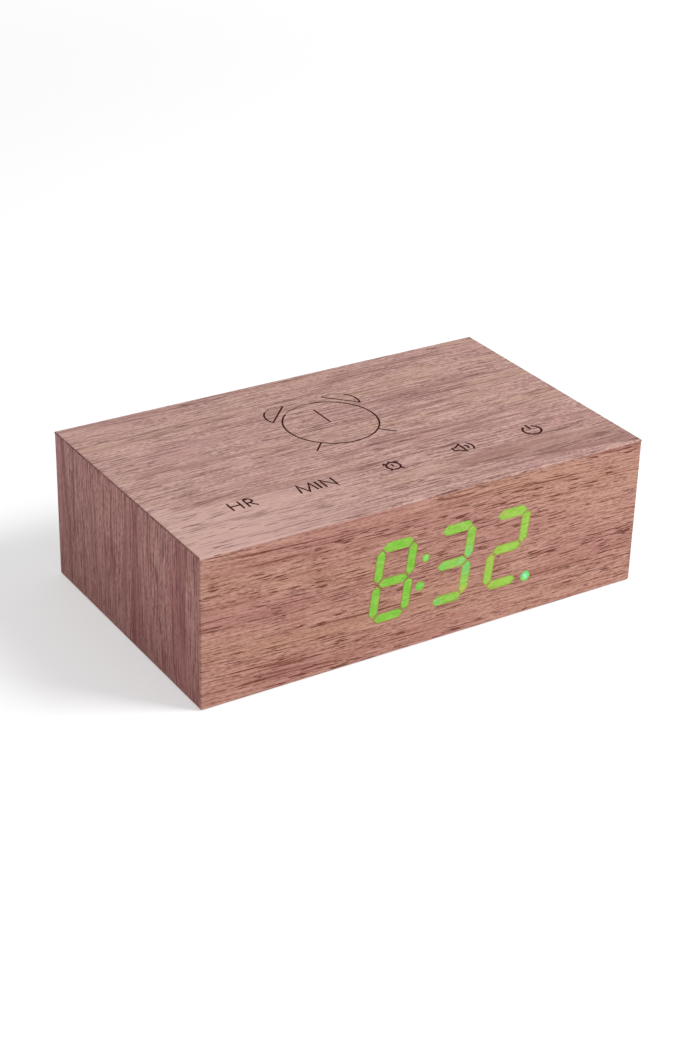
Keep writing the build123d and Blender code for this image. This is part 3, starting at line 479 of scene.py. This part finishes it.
def bell_arc(side):
    """The round side of a bell, from one end of its chord to the other and away from the dial."""
    chord = bell_chord(side)
    middle = (chord[0] + chord[1]) / 2
    half = (chord[1] - chord[0]).length / 2
    radius = (half * half + BELL_BULGE * BELL_BULGE) / (2 * BELL_BULGE)
    outward = Vector((side * 0.72, 0.695)).normalized()
    centre = middle - outward * (radius - BELL_BULGE)
    first, last = [math.degrees(math.atan2(p.y - centre.y, p.x - centre.x)) for p in chord]
    if side < 0:
        last += 360 if last < first else 0
    return arc(centre, radius, first, last)


left_bell, right_bell = bell_arc(-1), bell_arc(1)
half_bell = len(left_bell) // 2
big_alarm = [
    arc((0, 0), DIAL_RADIUS, 130, 444),
    left_bell[half_bell:],
    bell_chord(-1),
    right_bell[half_bell:],
    bell_chord(1),
    [(-10.1, -10.9), (-14.0, -15.0)],
    [(10.1, -10.9), (14.0, -15.0)],
    [(0, 0.2), (0, 10.1)],
]
faint_alarm = [
    arc((0, 0), DIAL_RADIUS, 84, 130),
    left_bell[:half_bell + 1],
    right_bell[:half_bell + 1],
    [(-0.5, -0.2), (-6.0, -0.2)],
]
key_strokes = letters_hr + letters_min + loudspeaker + power_mark + small_alarm
print("strokes:", len(key_strokes), "on the keys,", len(big_alarm + faint_alarm), "in the picture")

# %% [markdown]
# ## Cutting the grooves
#
# Each stroke becomes a thin closed prism that stands through the surface of the veneer.
# A Boolean modifier then takes all the prisms out of the sheet at once. The prisms carry the burnt material,
# and the Boolean passes it to the new walls and floors, so the groove is coloured only where it was cut.


# %% Cutter prisms
def stroke_outline(points, width):
    """The closed outline of a stroke: its points moved half the width to each side, mitred at the corners."""
    points = [Vector(p) for p in points]
    sides = []
    for i, point in enumerate(points):
        before = (point - points[i - 1]).normalized() if i else None
        after = (points[i + 1] - point).normalized() if i + 1 < len(points) else None
        if before is None or after is None:
            way = after or before
            out = Vector((-way.y, way.x)) * (width / 2)
        else:
            bisector = (Vector((-before.y, before.x)) + Vector((-after.y, after.x))).normalized()
            lean_in = max(0.45, bisector.dot(Vector((-after.y, after.x))))
            out = bisector * (width / 2 / lean_in)
        sides.append((point + out, point - out))
    return [s[0] for s in sides] + [s[1] for s in reversed(sides)]


def add_prism(mesh, outline, centre, low, high, material_index=0):
    """Adds a closed prism over the outline, from height low to height high."""
    bottom = [mesh.verts.new((centre[0] + p.x * MM, centre[1] + p.y * MM, low)) for p in outline]
    top = [mesh.verts.new((centre[0] + p.x * MM, centre[1] + p.y * MM, high)) for p in outline]
    count = len(outline)
    faces = [mesh.faces.new(top), mesh.faces.new(list(reversed(bottom)))]
    for i in range(count):
        faces.append(mesh.faces.new((bottom[i], bottom[(i + 1) % count], top[(i + 1) % count], top[i])))
    for face in faces:
        face.material_index = material_index


def add_ring(mesh, points, width, centre, low, high):
    """Adds a closed ring along points that come back to their start."""
    points = [Vector(p) for p in points[:-1]]
    middle = sum(points, Vector((0, 0))) / len(points)
    loops = []
    for shift, height in ((width / 2, low), (width / 2, high), (-width / 2, high), (-width / 2, low)):
        moved = [p + (p - middle).normalized() * shift for p in points]
        loops.append([mesh.verts.new((centre[0] + p.x * MM, centre[1] + p.y * MM, height)) for p in moved])
    count = len(points)
    for k in range(4):
        first, second = loops[k], loops[(k + 1) % 4]
        for i in range(count):
            j = (i + 1) % count
            mesh.faces.new((first[i], first[j], second[j], second[i]))


def new_object(name, mesh, materials):
    """An object from a bmesh, with its materials, its normals facing out."""
    bmesh.ops.recalc_face_normals(mesh, faces=mesh.faces)
    data = bpy.data.meshes.new(name)
    mesh.to_mesh(data)
    mesh.free()
    for material in materials:
        data.materials.append(material)
    result = bpy.data.objects.new(name, data)
    bpy.context.collection.objects.link(result)
    return result


GROOVE_DEPTH = 0.24 * MM
PICTURE_LINE, FAINT_LINE = 0.58, 0.24
picture_centre = (left + 75.05 * MM, front + 55.5 * MM)

# Each mark has its strokes, its place in the row, its size, and the width of its line in millimetres.
key_marks = [
    (letters_hr, -2, 0.91, 0.64),
    (letters_min, -1, 0.92, 0.72),
    (small_alarm, 0, 0.86, 0.70),
    (loudspeaker, 1, 0.92, 0.68),
    (power_mark, 2, 0.90, 0.76),
]


def engraving_cutter():
    """Every stroke of the top as one mesh of prisms."""
    mesh = bmesh.new()
    low, high = clock_top - GROOVE_DEPTH, clock_top + GROOVE_DEPTH
    work = [(strokes, (place * key_pitch, key_y), size, width) for strokes, place, size, width in key_marks]
    work.append((big_alarm, picture_centre, 1.0, PICTURE_LINE))
    work.append((faint_alarm, picture_centre, 1.0, FAINT_LINE))
    for strokes, centre, size, width in work:
        for stroke in strokes:
            stroke = [Vector(point) * size for point in stroke]
            closed = (stroke[0] - stroke[-1]).length < HAIR
            if closed:
                add_ring(mesh, stroke, width, centre, low, high)
            else:
                add_prism(mesh, stroke_outline(stroke, width), centre, low, high)
    return new_object("engraving_cutter", mesh, [groove_finish])


# %% [markdown]
# ## The top sheet
#
# The sheet is a flat slab with its long edges sanded over. A slab has so few faces that we can make it
# from one box and round its outer edges with a bevel. Then the cutter goes through it.


# %% Top sheet
def slab(name, low, high, rounded, radius, material):
    """A box with some of its edges rounded. rounded says for each edge, by its middle, if it is."""
    mesh = bmesh.new()
    bmesh.ops.create_cube(mesh, size=1)
    for vertex in mesh.verts:
        vertex.co = Vector(
            (low[i] if vertex.co[i] < 0 else high[i] for i in range(3))
        )
    edges = [e for e in mesh.edges if rounded((e.verts[0].co + e.verts[1].co) / 2)]
    bmesh.ops.bevel(mesh, geom=edges, offset=radius, segments=4, profile=0.5, affect="EDGES")
    return new_object(name, mesh, [material])


def cut(target, cutter):
    """Takes the cutter out of the target for good, and removes the cutter."""
    modifier = target.modifiers.new("cut", "BOOLEAN")
    modifier.operation = "DIFFERENCE"
    modifier.solver = "EXACT"
    modifier.use_self = True
    modifier.material_mode = "TRANSFER"
    modifier.object = cutter
    evaluated = target.evaluated_get(bpy.context.evaluated_depsgraph_get())
    finished = bpy.data.meshes.new_from_object(evaluated)
    target.modifiers.clear()
    target.data = finished
    bpy.data.objects.remove(cutter)


def dress(piece, slot, *nodes):
    """Says what the piece rides on and the CAD nodes that it stands for. slot is not used."""
    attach(piece, BODY)
    if nodes:
        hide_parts(*nodes)


EASE = 0.35 * MM
top_sheet = slab(
    "top_sheet", top_low, top_high, lambda middle: middle.z > top_high.z - HAIR, EASE, veneer_top
)
cut(top_sheet, engraving_cutter())
top_sheet.data.materials.append(veneer_cut)
for face in top_sheet.data.polygons:
    if abs(face.normal.x) > 0.6 and abs(face.center.x) > right - EASE:
        face.material_index = len(top_sheet.data.materials) - 1
dress(top_sheet, "walnut_veneer", "top_veneer")
print("top sheet:", len(top_sheet.data.polygons), "faces,", [m.name for m in top_sheet.data.materials])

# %% [markdown]
# ## Light through the front sheet
#
# Behind the front veneer stands a moulded housing with one light well for each bar of each digit.
# Where a well is lit, the thin wood glows. The CAD piece `segment_diffusers` has one solid for each window,
# so we can read from it where every bar and dot is, and choose which of them are on.
# The front sheet gets a window for each lit bar, and a glowing piece of veneer goes into it, flush.


# %% Read the light windows from the CAD piece
def window_outlines():
    """The outline of each light window on the front plane, as (x, z) points in metres."""
    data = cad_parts["segment_diffusers"].data
    mesh = bmesh.new()
    mesh.from_mesh(data)
    bmesh.ops.remove_doubles(mesh, verts=mesh.verts, dist=1e-7)
    unseen = set(mesh.verts)
    outlines = []
    while unseen:
        island, queue = [], [unseen.pop()]
        while queue:
            vertex = queue.pop()
            island.append(vertex)
            for edge in vertex.link_edges:
                other = edge.other_vert(vertex)
                if other in unseen:
                    unseen.remove(other)
                    queue.append(other)
        face_y = min(v.co.y for v in island)
        points = [Vector((v.co.x, v.co.z)) for v in island if v.co.y < face_y + HAIR]
        outlines.append([points[i] for i in convex_hull_2d(points)])
    mesh.free()
    return outlines


def size_of(outline):
    """Width, height and middle of an outline."""
    xs, zs = [p.x for p in outline], [p.y for p in outline]
    return max(xs) - min(xs), max(zs) - min(zs), Vector(((max(xs) + min(xs)) / 2, (max(zs) + min(zs)) / 2))


def name_bars(bars):
    """The usual letters, a to g, for the seven bars of one digit."""
    lying = sorted((b for b in bars if size_of(b)[0] > size_of(b)[1]), key=lambda b: -size_of(b)[2].y)
    standing = sorted((b for b in bars if size_of(b)[0] <= size_of(b)[1]), key=lambda b: -size_of(b)[2].y)
    upper = sorted(standing[:2], key=lambda b: size_of(b)[2].x)
    lower = sorted(standing[2:], key=lambda b: size_of(b)[2].x)
    return dict(zip("agdfbec", lying + upper + lower))


MOST_BAR_CORNERS = 12
outlines = window_outlines()
dots = sorted((o for o in outlines if len(o) > MOST_BAR_CORNERS), key=lambda o: size_of(o)[2].x)
bars = sorted((o for o in outlines if len(o) <= MOST_BAR_CORNERS), key=lambda o: size_of(o)[2].x)
digits = [name_bars(bars[7 * place:7 * place + 7]) for place in range(4)]
print(len(bars), "bars and", len(dots), "dots; digit heights",
      [round((size_of(d["a"])[2].y - size_of(d["d"])[2].y) / MM, 1) for d in digits])


# %% [markdown]
# ## The glow
#
# Light that comes through veneer isn't even. It keeps the grain of the wood, it fades towards the edge of
# the window, and here and there it is cooler or warmer. The glow is mostly emission, on a nearly black base,
# so that the lamps of the scene add little to it. The rim is a material of its own: there the light is
# so weak that the brown of the wood mixes with it.


# %% Glowing veneer
DIM_WOOD = srgb(104, 142, 44)
BRIGHT_WOOD = srgb(190, 234, 148)


def glow(name, colour, second, patches=(), strength=1.0):
    """Lit veneer: one colour that drifts to a second, with a few cooler or warmer patches on it."""
    material, tree, shader = start_material(name)
    u, v = grain_axes(tree, "X", "Z")
    drift = streaks(tree, u, v, 17.0, 3.2, 2.2, detail=2)
    grains = streaks(tree, u, v, 21.0, 0.9, 0.45, detail=2, roughness=0.7)
    fibre = streaks(tree, u, v, 23.0, 5.0, 0.45, detail=2, roughness=0.6)
    mixed = blend_colours(tree, fade(tree, drift, 0.38, 0.62), colour, second)
    for x, z, reach, tint in patches:
        away_u = calc(tree, "SUBTRACT", u, x / MM)
        away_v = calc(tree, "SUBTRACT", v, z / MM)
        away = calc(tree, "SQRT", calc(tree, "ADD", calc(tree, "MULTIPLY", away_u, away_u),
                                       calc(tree, "MULTIPLY", away_v, away_v)))
        mixed = blend_colours(tree, calc(tree, "MULTIPLY", fade(tree, away, reach, 0.0), 0.9), mixed, tint)
    dim = calc(tree, "ADD", calc(tree, "MULTIPLY", grains, 0.5), calc(tree, "MULTIPLY", fibre, 0.5))
    dark = calc(tree, "MULTIPLY", fade(tree, dim, 0.50, 0.64), 0.60)
    mixed = blend_colours(tree, dark, mixed, DIM_WOOD)
    bright = calc(tree, "MULTIPLY", fade(tree, dim, 0.46, 0.32), 0.60)
    mixed = blend_colours(tree, bright, mixed, BRIGHT_WOOD)
    shader.inputs["Base Color"].default_value = (0.02, 0.02, 0.015, 1)
    shader.inputs["Roughness"].default_value = 0.7
    shader.inputs["Specular IOR Level"].default_value = 0.15
    tree.links.new(mixed, shader.inputs["Emission Color"])
    shader.inputs["Emission Strength"].default_value = strength
    return material


GREEN = srgb(120, 196, 52)
LIME = srgb(160, 206, 78)
MINT = srgb(112, 212, 126)
YELLOW = srgb(182, 186, 66)


def corner(outline, right_side, upper_side):
    """One corner of an outline's box."""
    width, height, middle = size_of(outline)
    return (middle.x + (width / 2 if right_side else -width / 2),
            middle.y + (height / 2 if upper_side else -height / 2))


def patch(point, reach, tint):
    """A coloured patch round a point on the front."""
    return (point[0], point[1], reach, tint)


glow_eight = glow("glow_first", GREEN, srgb(136, 198, 66), patches=[
    patch(corner(digits[1]["d"], False, False), 4.0, srgb(152, 176, 58)),
    patch(corner(digits[1]["b"], True, True), 4.0, srgb(156, 178, 62)),
])
glow_three = glow("glow_second", srgb(138, 196, 62), srgb(152, 202, 82), patches=[
    patch(corner(digits[2]["c"], True, True), 7.5, MINT),
    patch(corner(digits[2]["g"], False, True), 6.0, srgb(128, 210, 106)),
    patch(corner(digits[2]["d"], False, False), 4.5, srgb(92, 206, 116)),
    patch(corner(digits[2]["d"], True, True), 2.8, YELLOW),
])
glow_two = glow("glow_third", srgb(152, 200, 66), LIME, patches=[
    patch(corner(digits[3]["a"], False, True), 4.5, srgb(176, 178, 84)),
    patch(corner(digits[3]["e"], False, True), 6.5, srgb(186, 186, 76)),
    patch(corner(digits[3]["d"], False, False), 4.0, srgb(176, 190, 70)),
])
upper_dot, lower_dot, last_dot = [size_of(dots[i])[2] for i in (1, 0, 2)]
glow_colon = glow("glow_colon", srgb(108, 198, 62), srgb(120, 200, 60), patches=[
    patch(upper_dot, 1.3, srgb(132, 226, 128)),
    patch(lower_dot, 1.1, srgb(118, 210, 96)),
])
glow_point = glow("glow_point", srgb(84, 220, 124), srgb(96, 222, 112), patches=[
    patch(last_dot, 1.5, srgb(176, 250, 200)),
])
glow_edge = glow("glow_edge", srgb(126, 176, 54), srgb(146, 180, 60))
glow_rim = glow("glow_rim", srgb(128, 112, 48), srgb(156, 106, 58))
glow_warm_rim = glow("glow_warm_rim", srgb(166, 140, 64), srgb(178, 128, 72))


# %% [markdown]
# ## Cutting the windows and filling them
#
# The tips of a bar are a little soft, because the wood spreads the light. So each bar's outline gets its
# corners rounded before it is used. The same outline cuts the window and makes the glowing piece, so the two
# fit with no gap. Two insets on the piece's face give the dim rim and, inside it, a band between dim and lit.


# %% Windows and glowing pieces
def spread_light(outline, reach):
    """The outline moved outwards by reach: light leaves the wood a little beside its well."""
    middle = size_of(outline)[2]
    count = len(outline)
    result = []
    for i, here in enumerate(outline):
        way_in, way_out = (here - outline[i - 1]).normalized(), (outline[(i + 1) % count] - here).normalized()
        normal = (Vector((way_in.y, -way_in.x)) + Vector((way_out.y, -way_out.x))).normalized()
        if normal.dot(here - middle) < 0:
            normal = -normal
        cosine = max(0.4, abs(normal.dot(Vector((way_out.y, -way_out.x)))))
        result.append(here + normal * (reach / cosine))
    return result


def soften(outline, radius, steps=4):
    """The outline with each corner rounded by a short curve."""
    count = len(outline)
    result = []
    for i, corner_point in enumerate(outline):
        before, after = outline[i - 1], outline[(i + 1) % count]
        to_before, to_after = before - corner_point, after - corner_point
        reach = min(radius, to_before.length * 0.4, to_after.length * 0.4)
        start = corner_point + to_before.normalized() * reach
        end = corner_point + to_after.normalized() * reach
        for k in range(steps + 1):
            t = k / steps
            result.append(start * (1 - t) ** 2 + corner_point * 2 * t * (1 - t) + end * t * t)
    return result


def upright_prism(mesh, outline, near, far):
    """A closed prism over an outline in the x-z plane, between two depths. Its near face comes back."""
    near_ring = [mesh.verts.new((p.x, near, p.y)) for p in outline]
    far_ring = [mesh.verts.new((p.x, far, p.y)) for p in outline]
    count = len(outline)
    face = mesh.faces.new(near_ring)
    mesh.faces.new(list(reversed(far_ring)))
    for i in range(count):
        mesh.faces.new((near_ring[i], far_ring[i], far_ring[(i + 1) % count], near_ring[(i + 1) % count]))
    return face


lit = [(digits[1][letter], "eight", glow_eight) for letter in "abcdefg"]
lit += [(digits[2][letter], "three", glow_three) for letter in "abcdg"]
lit += [(digits[3][letter], "two", glow_two) for letter in "abdeg"]
SPREAD = {"eight": 0.16 * MM, "three": 0.20 * MM, "two": 0.20 * MM}
TIP_RADIUS = 0.5 * MM
EDGE_BAND = 0.26 * MM
windows = [
    (soften(spread_light(outline, SPREAD[name]), TIP_RADIUS), name, finish) for outline, name, finish in lit
]
windows += [(outline, "colon", glow_colon) for outline in dots[:2]]
windows += [(dots[2], "point", glow_point)]

front_sheet = slab(
    "front_sheet", front_low, front_high,
    lambda middle: abs(middle.y - front_low.y) < HAIR and abs(middle.x) > right - HAIR, EASE, veneer_front,
)
cutter_mesh = bmesh.new()
for window in windows:
    upright_prism(cutter_mesh, window[0], front_low.y - veneer, front_high.y + veneer)
cut(front_sheet, new_object("window_cutter", cutter_mesh, [veneer_front]))
dress(front_sheet, "walnut_veneer", "front_veneer")
print("front sheet:", len(front_sheet.data.polygons), "faces")


def glowing_piece(name, outlines_of_piece, finish, rim, rim_finish):
    """The lit windows of one digit or dot as one piece. rim is the width of their dim rim in millimetres."""
    mesh = bmesh.new()
    faces = [upright_prism(mesh, outline, front_low.y, front_high.y) for outline in outlines_of_piece]
    for face in faces:
        for width, ring_material in ((rim * MM, 1), (EDGE_BAND, 2)):
            ring = bmesh.ops.inset_individual(mesh, faces=[face], thickness=width)["faces"]
            for ring_face in ring:
                ring_face.material_index = ring_material
    piece = new_object(name, mesh, [finish, rim_finish, glow_edge])
    dress(piece, "diffuser")
    return piece


RIMS = {
    "eight": (0.24, glow_rim),
    "three": (0.16, glow_warm_rim),
    "two": (0.22, glow_warm_rim),
    "colon": (0.30, glow_rim),
    "point": (0.22, glow_rim),
}
for group, (rim, rim_finish) in RIMS.items():
    members = [outline for outline, name, finish in windows if name == group]
    finish = [finish for outline, name, finish in windows if name == group][0]
    piece = glowing_piece(f"lit_{group}", members, finish, rim, rim_finish)
    print(piece.name, len(members), "windows")

# %% [markdown]
# ## The other sheets
#
# The ends, the bottom and the rear cover keep their CAD shapes, which already have the right holes and edges.
# They only need their veneer. The grain of the two ends stands upright, and on all the other sides it lies
# along the clock.


# %% Veneer on the CAD sheets
def repaint(node, material):
    """Gives a CAD node one material in all its slots."""
    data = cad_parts[node].data
    for index in range(max(1, len(data.materials))):
        if index < len(data.materials):
            data.materials[index] = material
        else:
            data.materials.append(material)


for node, material in {
    "left_end_veneer": veneer_left, "right_end_veneer": veneer_right, "bottom_veneer": veneer_bottom,
    "rear_veneer": veneer_rear, "rear_edge_banding": veneer_rear,
}.items():
    repaint(node, material)
print("sheets repainted")


# %% [markdown]
# ## The four screws of the rear cover
#
# The rear cover comes off for the battery, so it is held by countersunk screws, and their heads show.
# The CAD screws are plain. A real head has a cross recess for the screwdriver, and that is what makes
# it look like a screw. A screw is round, so its body is a profile turned about its own axis.
# The recess is cut out by a cross of two tapered bars, each a little narrower at its deep end.
# Its walls get a darker metal than the head, which is painted shade.


# %% Rear cover screws
def screw_places():
    """The axis of each cover screw, as (x, z), read from the CAD piece."""
    vertices = [v.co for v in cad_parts["rear_cover_screws"].data.vertices]
    places = []
    for x_side in (-1, 1):
        for z_side in (-1, 1):
            own = [p for p in vertices if p.x * x_side > 0 and (p.z - middle_z) * z_side > 0]
            places.append(tuple((min(p[i] for p in own) + max(p[i] for p in own)) / 2 for i in (0, 2)))
    return places


def turned(mesh, profile, centre, steps=40):
    """Turns a profile of (radius, y) points about an axis that runs along y, from end to end."""
    rings = []
    for radius, y in profile:
        turns = [2 * math.pi * i / steps for i in range(steps)]
        rings.append([mesh.verts.new((centre[0] + radius * math.cos(t), y, centre[1] + radius * math.sin(t)))
                      for t in turns])
    for first, second in zip(rings, rings[1:]):
        for i in range(steps):
            j = (i + 1) % steps
            mesh.faces.new((first[i], first[j], second[j], second[i]))
    mesh.faces.new(rings[0])
    mesh.faces.new(list(reversed(rings[-1])))


def tapered_bar(mesh, centre, half_length, half_width, near, far, taper):
    """A bar across a screw head. Its far end is smaller by the taper."""
    rings = []
    for y, size in ((near, 1.0), (far, taper)):
        reach_x, reach_z = half_length * size, half_width * size
        rings.append([mesh.verts.new((centre[0] + a * reach_x, y, centre[1] + b * reach_z))
                      for a, b in ((-1, -1), (1, -1), (1, 1), (-1, 1))])
    mesh.faces.new(rings[0])
    mesh.faces.new(list(reversed(rings[1])))
    for i in range(4):
        j = (i + 1) % 4
        mesh.faces.new((rings[0][i], rings[1][i], rings[1][j], rings[0][j]))


HEAD_RADIUS, SHANK_RADIUS, TIP_END_RADIUS = 2.8 * MM, 1.45 * MM, 0.5 * MM
RIM_WIDTH, RIM_DEPTH, TIP_LENGTH = 0.12 * MM, 0.10 * MM, 0.8 * MM
RECESS_DEPTH, RECESS_TAPER, ABOVE_HEAD = 1.25 * MM, 0.45, 0.2 * MM
CROSS_LONG, CROSS_SHORT = 1.55 * MM, 0.33 * MM


def make_cover_screws(finish, recess_painted_shade):
    """Four countersunk screws, flush with the rear, each with a cross recess."""
    low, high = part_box("rear_cover_screws")
    profile = [
        (HEAD_RADIUS - RIM_WIDTH, high.y),
        (HEAD_RADIUS, high.y - RIM_DEPTH),
        (SHANK_RADIUS, high.y - HEAD_RADIUS + SHANK_RADIUS),
        (SHANK_RADIUS, low.y + TIP_LENGTH),
        (TIP_END_RADIUS, low.y),
    ]
    mesh, cutters = bmesh.new(), bmesh.new()
    near, far = high.y + ABOVE_HEAD, high.y - RECESS_DEPTH
    for place in screw_places():
        turned(mesh, profile, place)
        tapered_bar(cutters, place, CROSS_LONG, CROSS_SHORT, near, far, RECESS_TAPER)
        tapered_bar(cutters, place, CROSS_SHORT, CROSS_LONG, near, far, RECESS_TAPER)
    screws = new_object("cover_screws", mesh, [finish])
    cut(screws, new_object("recess_cutter", cutters, [recess_painted_shade]))
    dress(screws, "zinc_steel", "rear_cover_screws")
    return screws


# %% [markdown]
# ## Everything inside
#
# The works are hidden, but the model can be opened on a screen, so every piece gets its own finish.
# One small function makes them all: a base colour that drifts a little towards a second one,
# a roughness, and how much of a metal it is. Fine noise keeps each surface from looking like plain paint.


# %% Finishes for the works
def works_finish(name, colour, second, roughness=0.5, metal=0.0, scale=0.4, relief=0.00001):
    """A finish for a small part: two near colours in fine patches."""
    material, tree, shader = start_material(name)
    u, v = grain_axes(tree, "X", "Z")
    patches = noise(tree, spot(tree, u, v, calc(tree, "ADD", u, v)), scale=scale, detail=3)
    colour_here = blend_colours(tree, fade(tree, patches, 0.35, 0.65), srgb(*colour), srgb(*second))
    tree.links.new(colour_here, shader.inputs["Base Color"])
    shader.inputs["Roughness"].default_value = roughness
    shader.inputs["Metallic"].default_value = metal
    add_bump(tree, shader, patches, relief)
    return material


WORKS = {
    "fibreboard": works_finish("fibreboard", (168, 132, 96), (148, 112, 80), 0.85, scale=1.6, relief=0.00006),
    "pine_block": works_finish("pine_block", (214, 180, 130), (196, 156, 104), 0.7, scale=0.8),
    "zinc_steel": works_finish("zinc_steel", (176, 178, 180), (150, 152, 156), 0.35, 1.0, scale=2.0),
    "black_plastic": works_finish("black_plastic", (30, 30, 32), (38, 38, 40), 0.55, scale=3.0),
    "white_plastic": works_finish("white_plastic", (228, 226, 220), (216, 214, 208), 0.5, scale=2.0),
    "diffuser": works_finish("diffuser", (232, 232, 226), (220, 222, 212), 0.35, scale=1.0),
    "circuit_board": works_finish("circuit_board", (28, 84, 52), (22, 70, 44), 0.4, scale=1.2),
    "chip_black": works_finish("chip_black", (34, 34, 36), (44, 44, 46), 0.6, scale=4.0),
    "led_chip": works_finish("led_chip", (226, 226, 190), (206, 214, 160), 0.3, scale=2.0),
    "pin_gold": works_finish("pin_gold", (212, 172, 84), (196, 154, 70), 0.3, 1.0, scale=2.0),
    "copper_pad": works_finish("copper_pad", (196, 122, 82), (180, 104, 68), 0.35, 1.0, scale=1.0),
    "film": works_finish("film", (196, 168, 110), (184, 154, 98), 0.4, scale=0.5),
    "ribbon": works_finish("ribbon", (176, 110, 50), (160, 96, 42), 0.35, scale=0.7),
    "battery_wrap": works_finish("battery_wrap", (46, 88, 150), (38, 76, 134), 0.35, scale=0.3),
    "nickel": works_finish("nickel", (196, 192, 182), (176, 172, 164), 0.3, 1.0, scale=2.0),
    "bright_steel": works_finish("bright_steel", (200, 202, 204), (180, 182, 186), 0.25, 1.0, scale=2.0),
    "aluminium_can": works_finish("aluminium_can", (204, 206, 210), (190, 192, 196), 0.3, 1.0, scale=1.0),
    "red_lead": works_finish("red_lead", (176, 34, 30), (160, 26, 24), 0.45, scale=1.0),
    "black_lead": works_finish("black_lead", (28, 28, 30), (36, 36, 38), 0.45, scale=1.0),
    "resistor": works_finish("resistor", (40, 42, 46), (54, 56, 60), 0.5, scale=2.0),
}


def slot_of(node):
    """The record's material slot of a CAD node."""
    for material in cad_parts[node].data.materials:
        return material.name.split(".")[0]


# Painted shade: the recess walls get a darker metal than the zinc head.
recess_painted_shade = works_finish("screw_recess_painted_shade", (96, 98, 102), (78, 80, 84), 0.5, 1.0, scale=2.0)
cover_screws = make_cover_screws(WORKS["zinc_steel"], recess_painted_shade)
print("cover screws:", len(cover_screws.data.polygons), "faces")

DRESSED = {
    "top_veneer", "front_veneer", "left_end_veneer", "right_end_veneer", "bottom_veneer", "rear_veneer",
    "rear_edge_banding", "rear_cover_screws",
}
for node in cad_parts:
    if node not in DRESSED:
        slot = slot_of(node)
        if slot in WORKS:
            repaint(node, WORKS[slot])
        else:
            print("no finish for", node, slot)

# %% [markdown]
# ## Floor and lamp
#
# The floor is pale, and white to the camera. An emission that only the camera, mirrors and glass see lifts
# it to white, and the shadow still shows, because that light is added to what the lamp gives the floor.
# A broad soft lamp stands at the right, in front and above. It makes the top the palest side,
# the front a little darker, and leaves the left end in half shade.


# %% Floor
FLOOR_SIZE = 6.0
FLOOR_GAP = 0.02 * MM
LIFT_NEAR, LIFT_FAR_EXTRA = 0.42, 0.35


def seen_directly(tree):
    """1 for what the camera sees, straight or by a mirror or glass, and 0 for the light between surfaces."""
    path = tree.nodes.new("ShaderNodeLightPath")
    seen = calc(tree, "MAXIMUM", path.outputs["Is Camera Ray"], path.outputs["Is Glossy Ray"])
    return calc(tree, "MAXIMUM", seen, path.outputs["Is Transmission Ray"])


def white_to_camera(tree, output_socket, base, lift):
    """Adds light to a surface that only the camera, mirrors and glass see."""
    seen = seen_directly(tree)
    emission = tree.nodes.new("ShaderNodeEmission")
    feed(tree, emission.inputs["Strength"], calc(tree, "MULTIPLY", seen, lift))
    both = tree.nodes.new("ShaderNodeAddShader")
    tree.links.new(base, both.inputs[0])
    tree.links.new(emission.outputs[0], both.inputs[1])
    tree.links.new(both.outputs[0], output_socket)


def make_floor():
    """A wide pale floor just under the clock."""
    mesh = bmesh.new()
    bmesh.ops.create_grid(mesh, x_segments=1, y_segments=1, size=FLOOR_SIZE)
    bmesh.ops.translate(mesh, verts=mesh.verts, vec=(0, 0, cad_low.z - FLOOR_GAP))
    material, tree, shader = start_material("floor_paint")
    shader.inputs["Base Color"].default_value = srgb(214, 214, 216)
    shader.inputs["Roughness"].default_value = 0.9
    shader.inputs["Specular IOR Level"].default_value = 0.0
    u, v = grain_axes(tree, "X", "Y")
    away = calc(tree, "SQRT", calc(tree, "ADD", calc(tree, "MULTIPLY", u, u), calc(tree, "MULTIPLY", v, v)))
    lift = calc(tree, "ADD", LIFT_NEAR, calc(tree, "MULTIPLY", fade(tree, away, 450, 1500), LIFT_FAR_EXTRA))
    output = tree.nodes["Material Output"].inputs["Surface"]
    white_to_camera(tree, output, shader.outputs[0], lift)
    floor = new_object("floor", mesh, [material])
    return floor


floor = make_floor()
print(f"the floor lies {FLOOR_GAP / MM:.2f} mm under the clock")


# %% Lamp and world
WORLD_LIGHT, WORLD_SHOWN_EXTRA = 0.5, 0.5


def lamp(name, place, target, size, power):
    """A square soft lamp that points at a target."""
    data = bpy.data.lights.new(name, "AREA")
    data.size = size
    data.energy = power
    result = bpy.data.objects.new(name, data)
    bpy.context.collection.objects.link(result)
    result.location = place
    result.rotation_mode = "QUATERNION"
    result.rotation_quaternion = (Vector(target) - Vector(place)).to_track_quat("-Z", "Y")
    return result


lamp("key_lamp", place=(0.75, -0.65, 0.95), target=(0, 0, 0.02), size=0.5, power=14.5)
world = bpy.data.worlds.new("studio")
bpy.context.scene.world = world
world.use_nodes = True
background = world.node_tree.nodes["Background"]
background.inputs["Color"].default_value = (1, 1, 1, 1)
shown = calc(world.node_tree, "MULTIPLY", seen_directly(world.node_tree), WORLD_SHOWN_EXTRA)
feed(world.node_tree, background.inputs["Strength"], calc(world.node_tree, "ADD", shown, WORLD_LIGHT))
bpy.context.scene.view_settings.view_transform = "Standard"
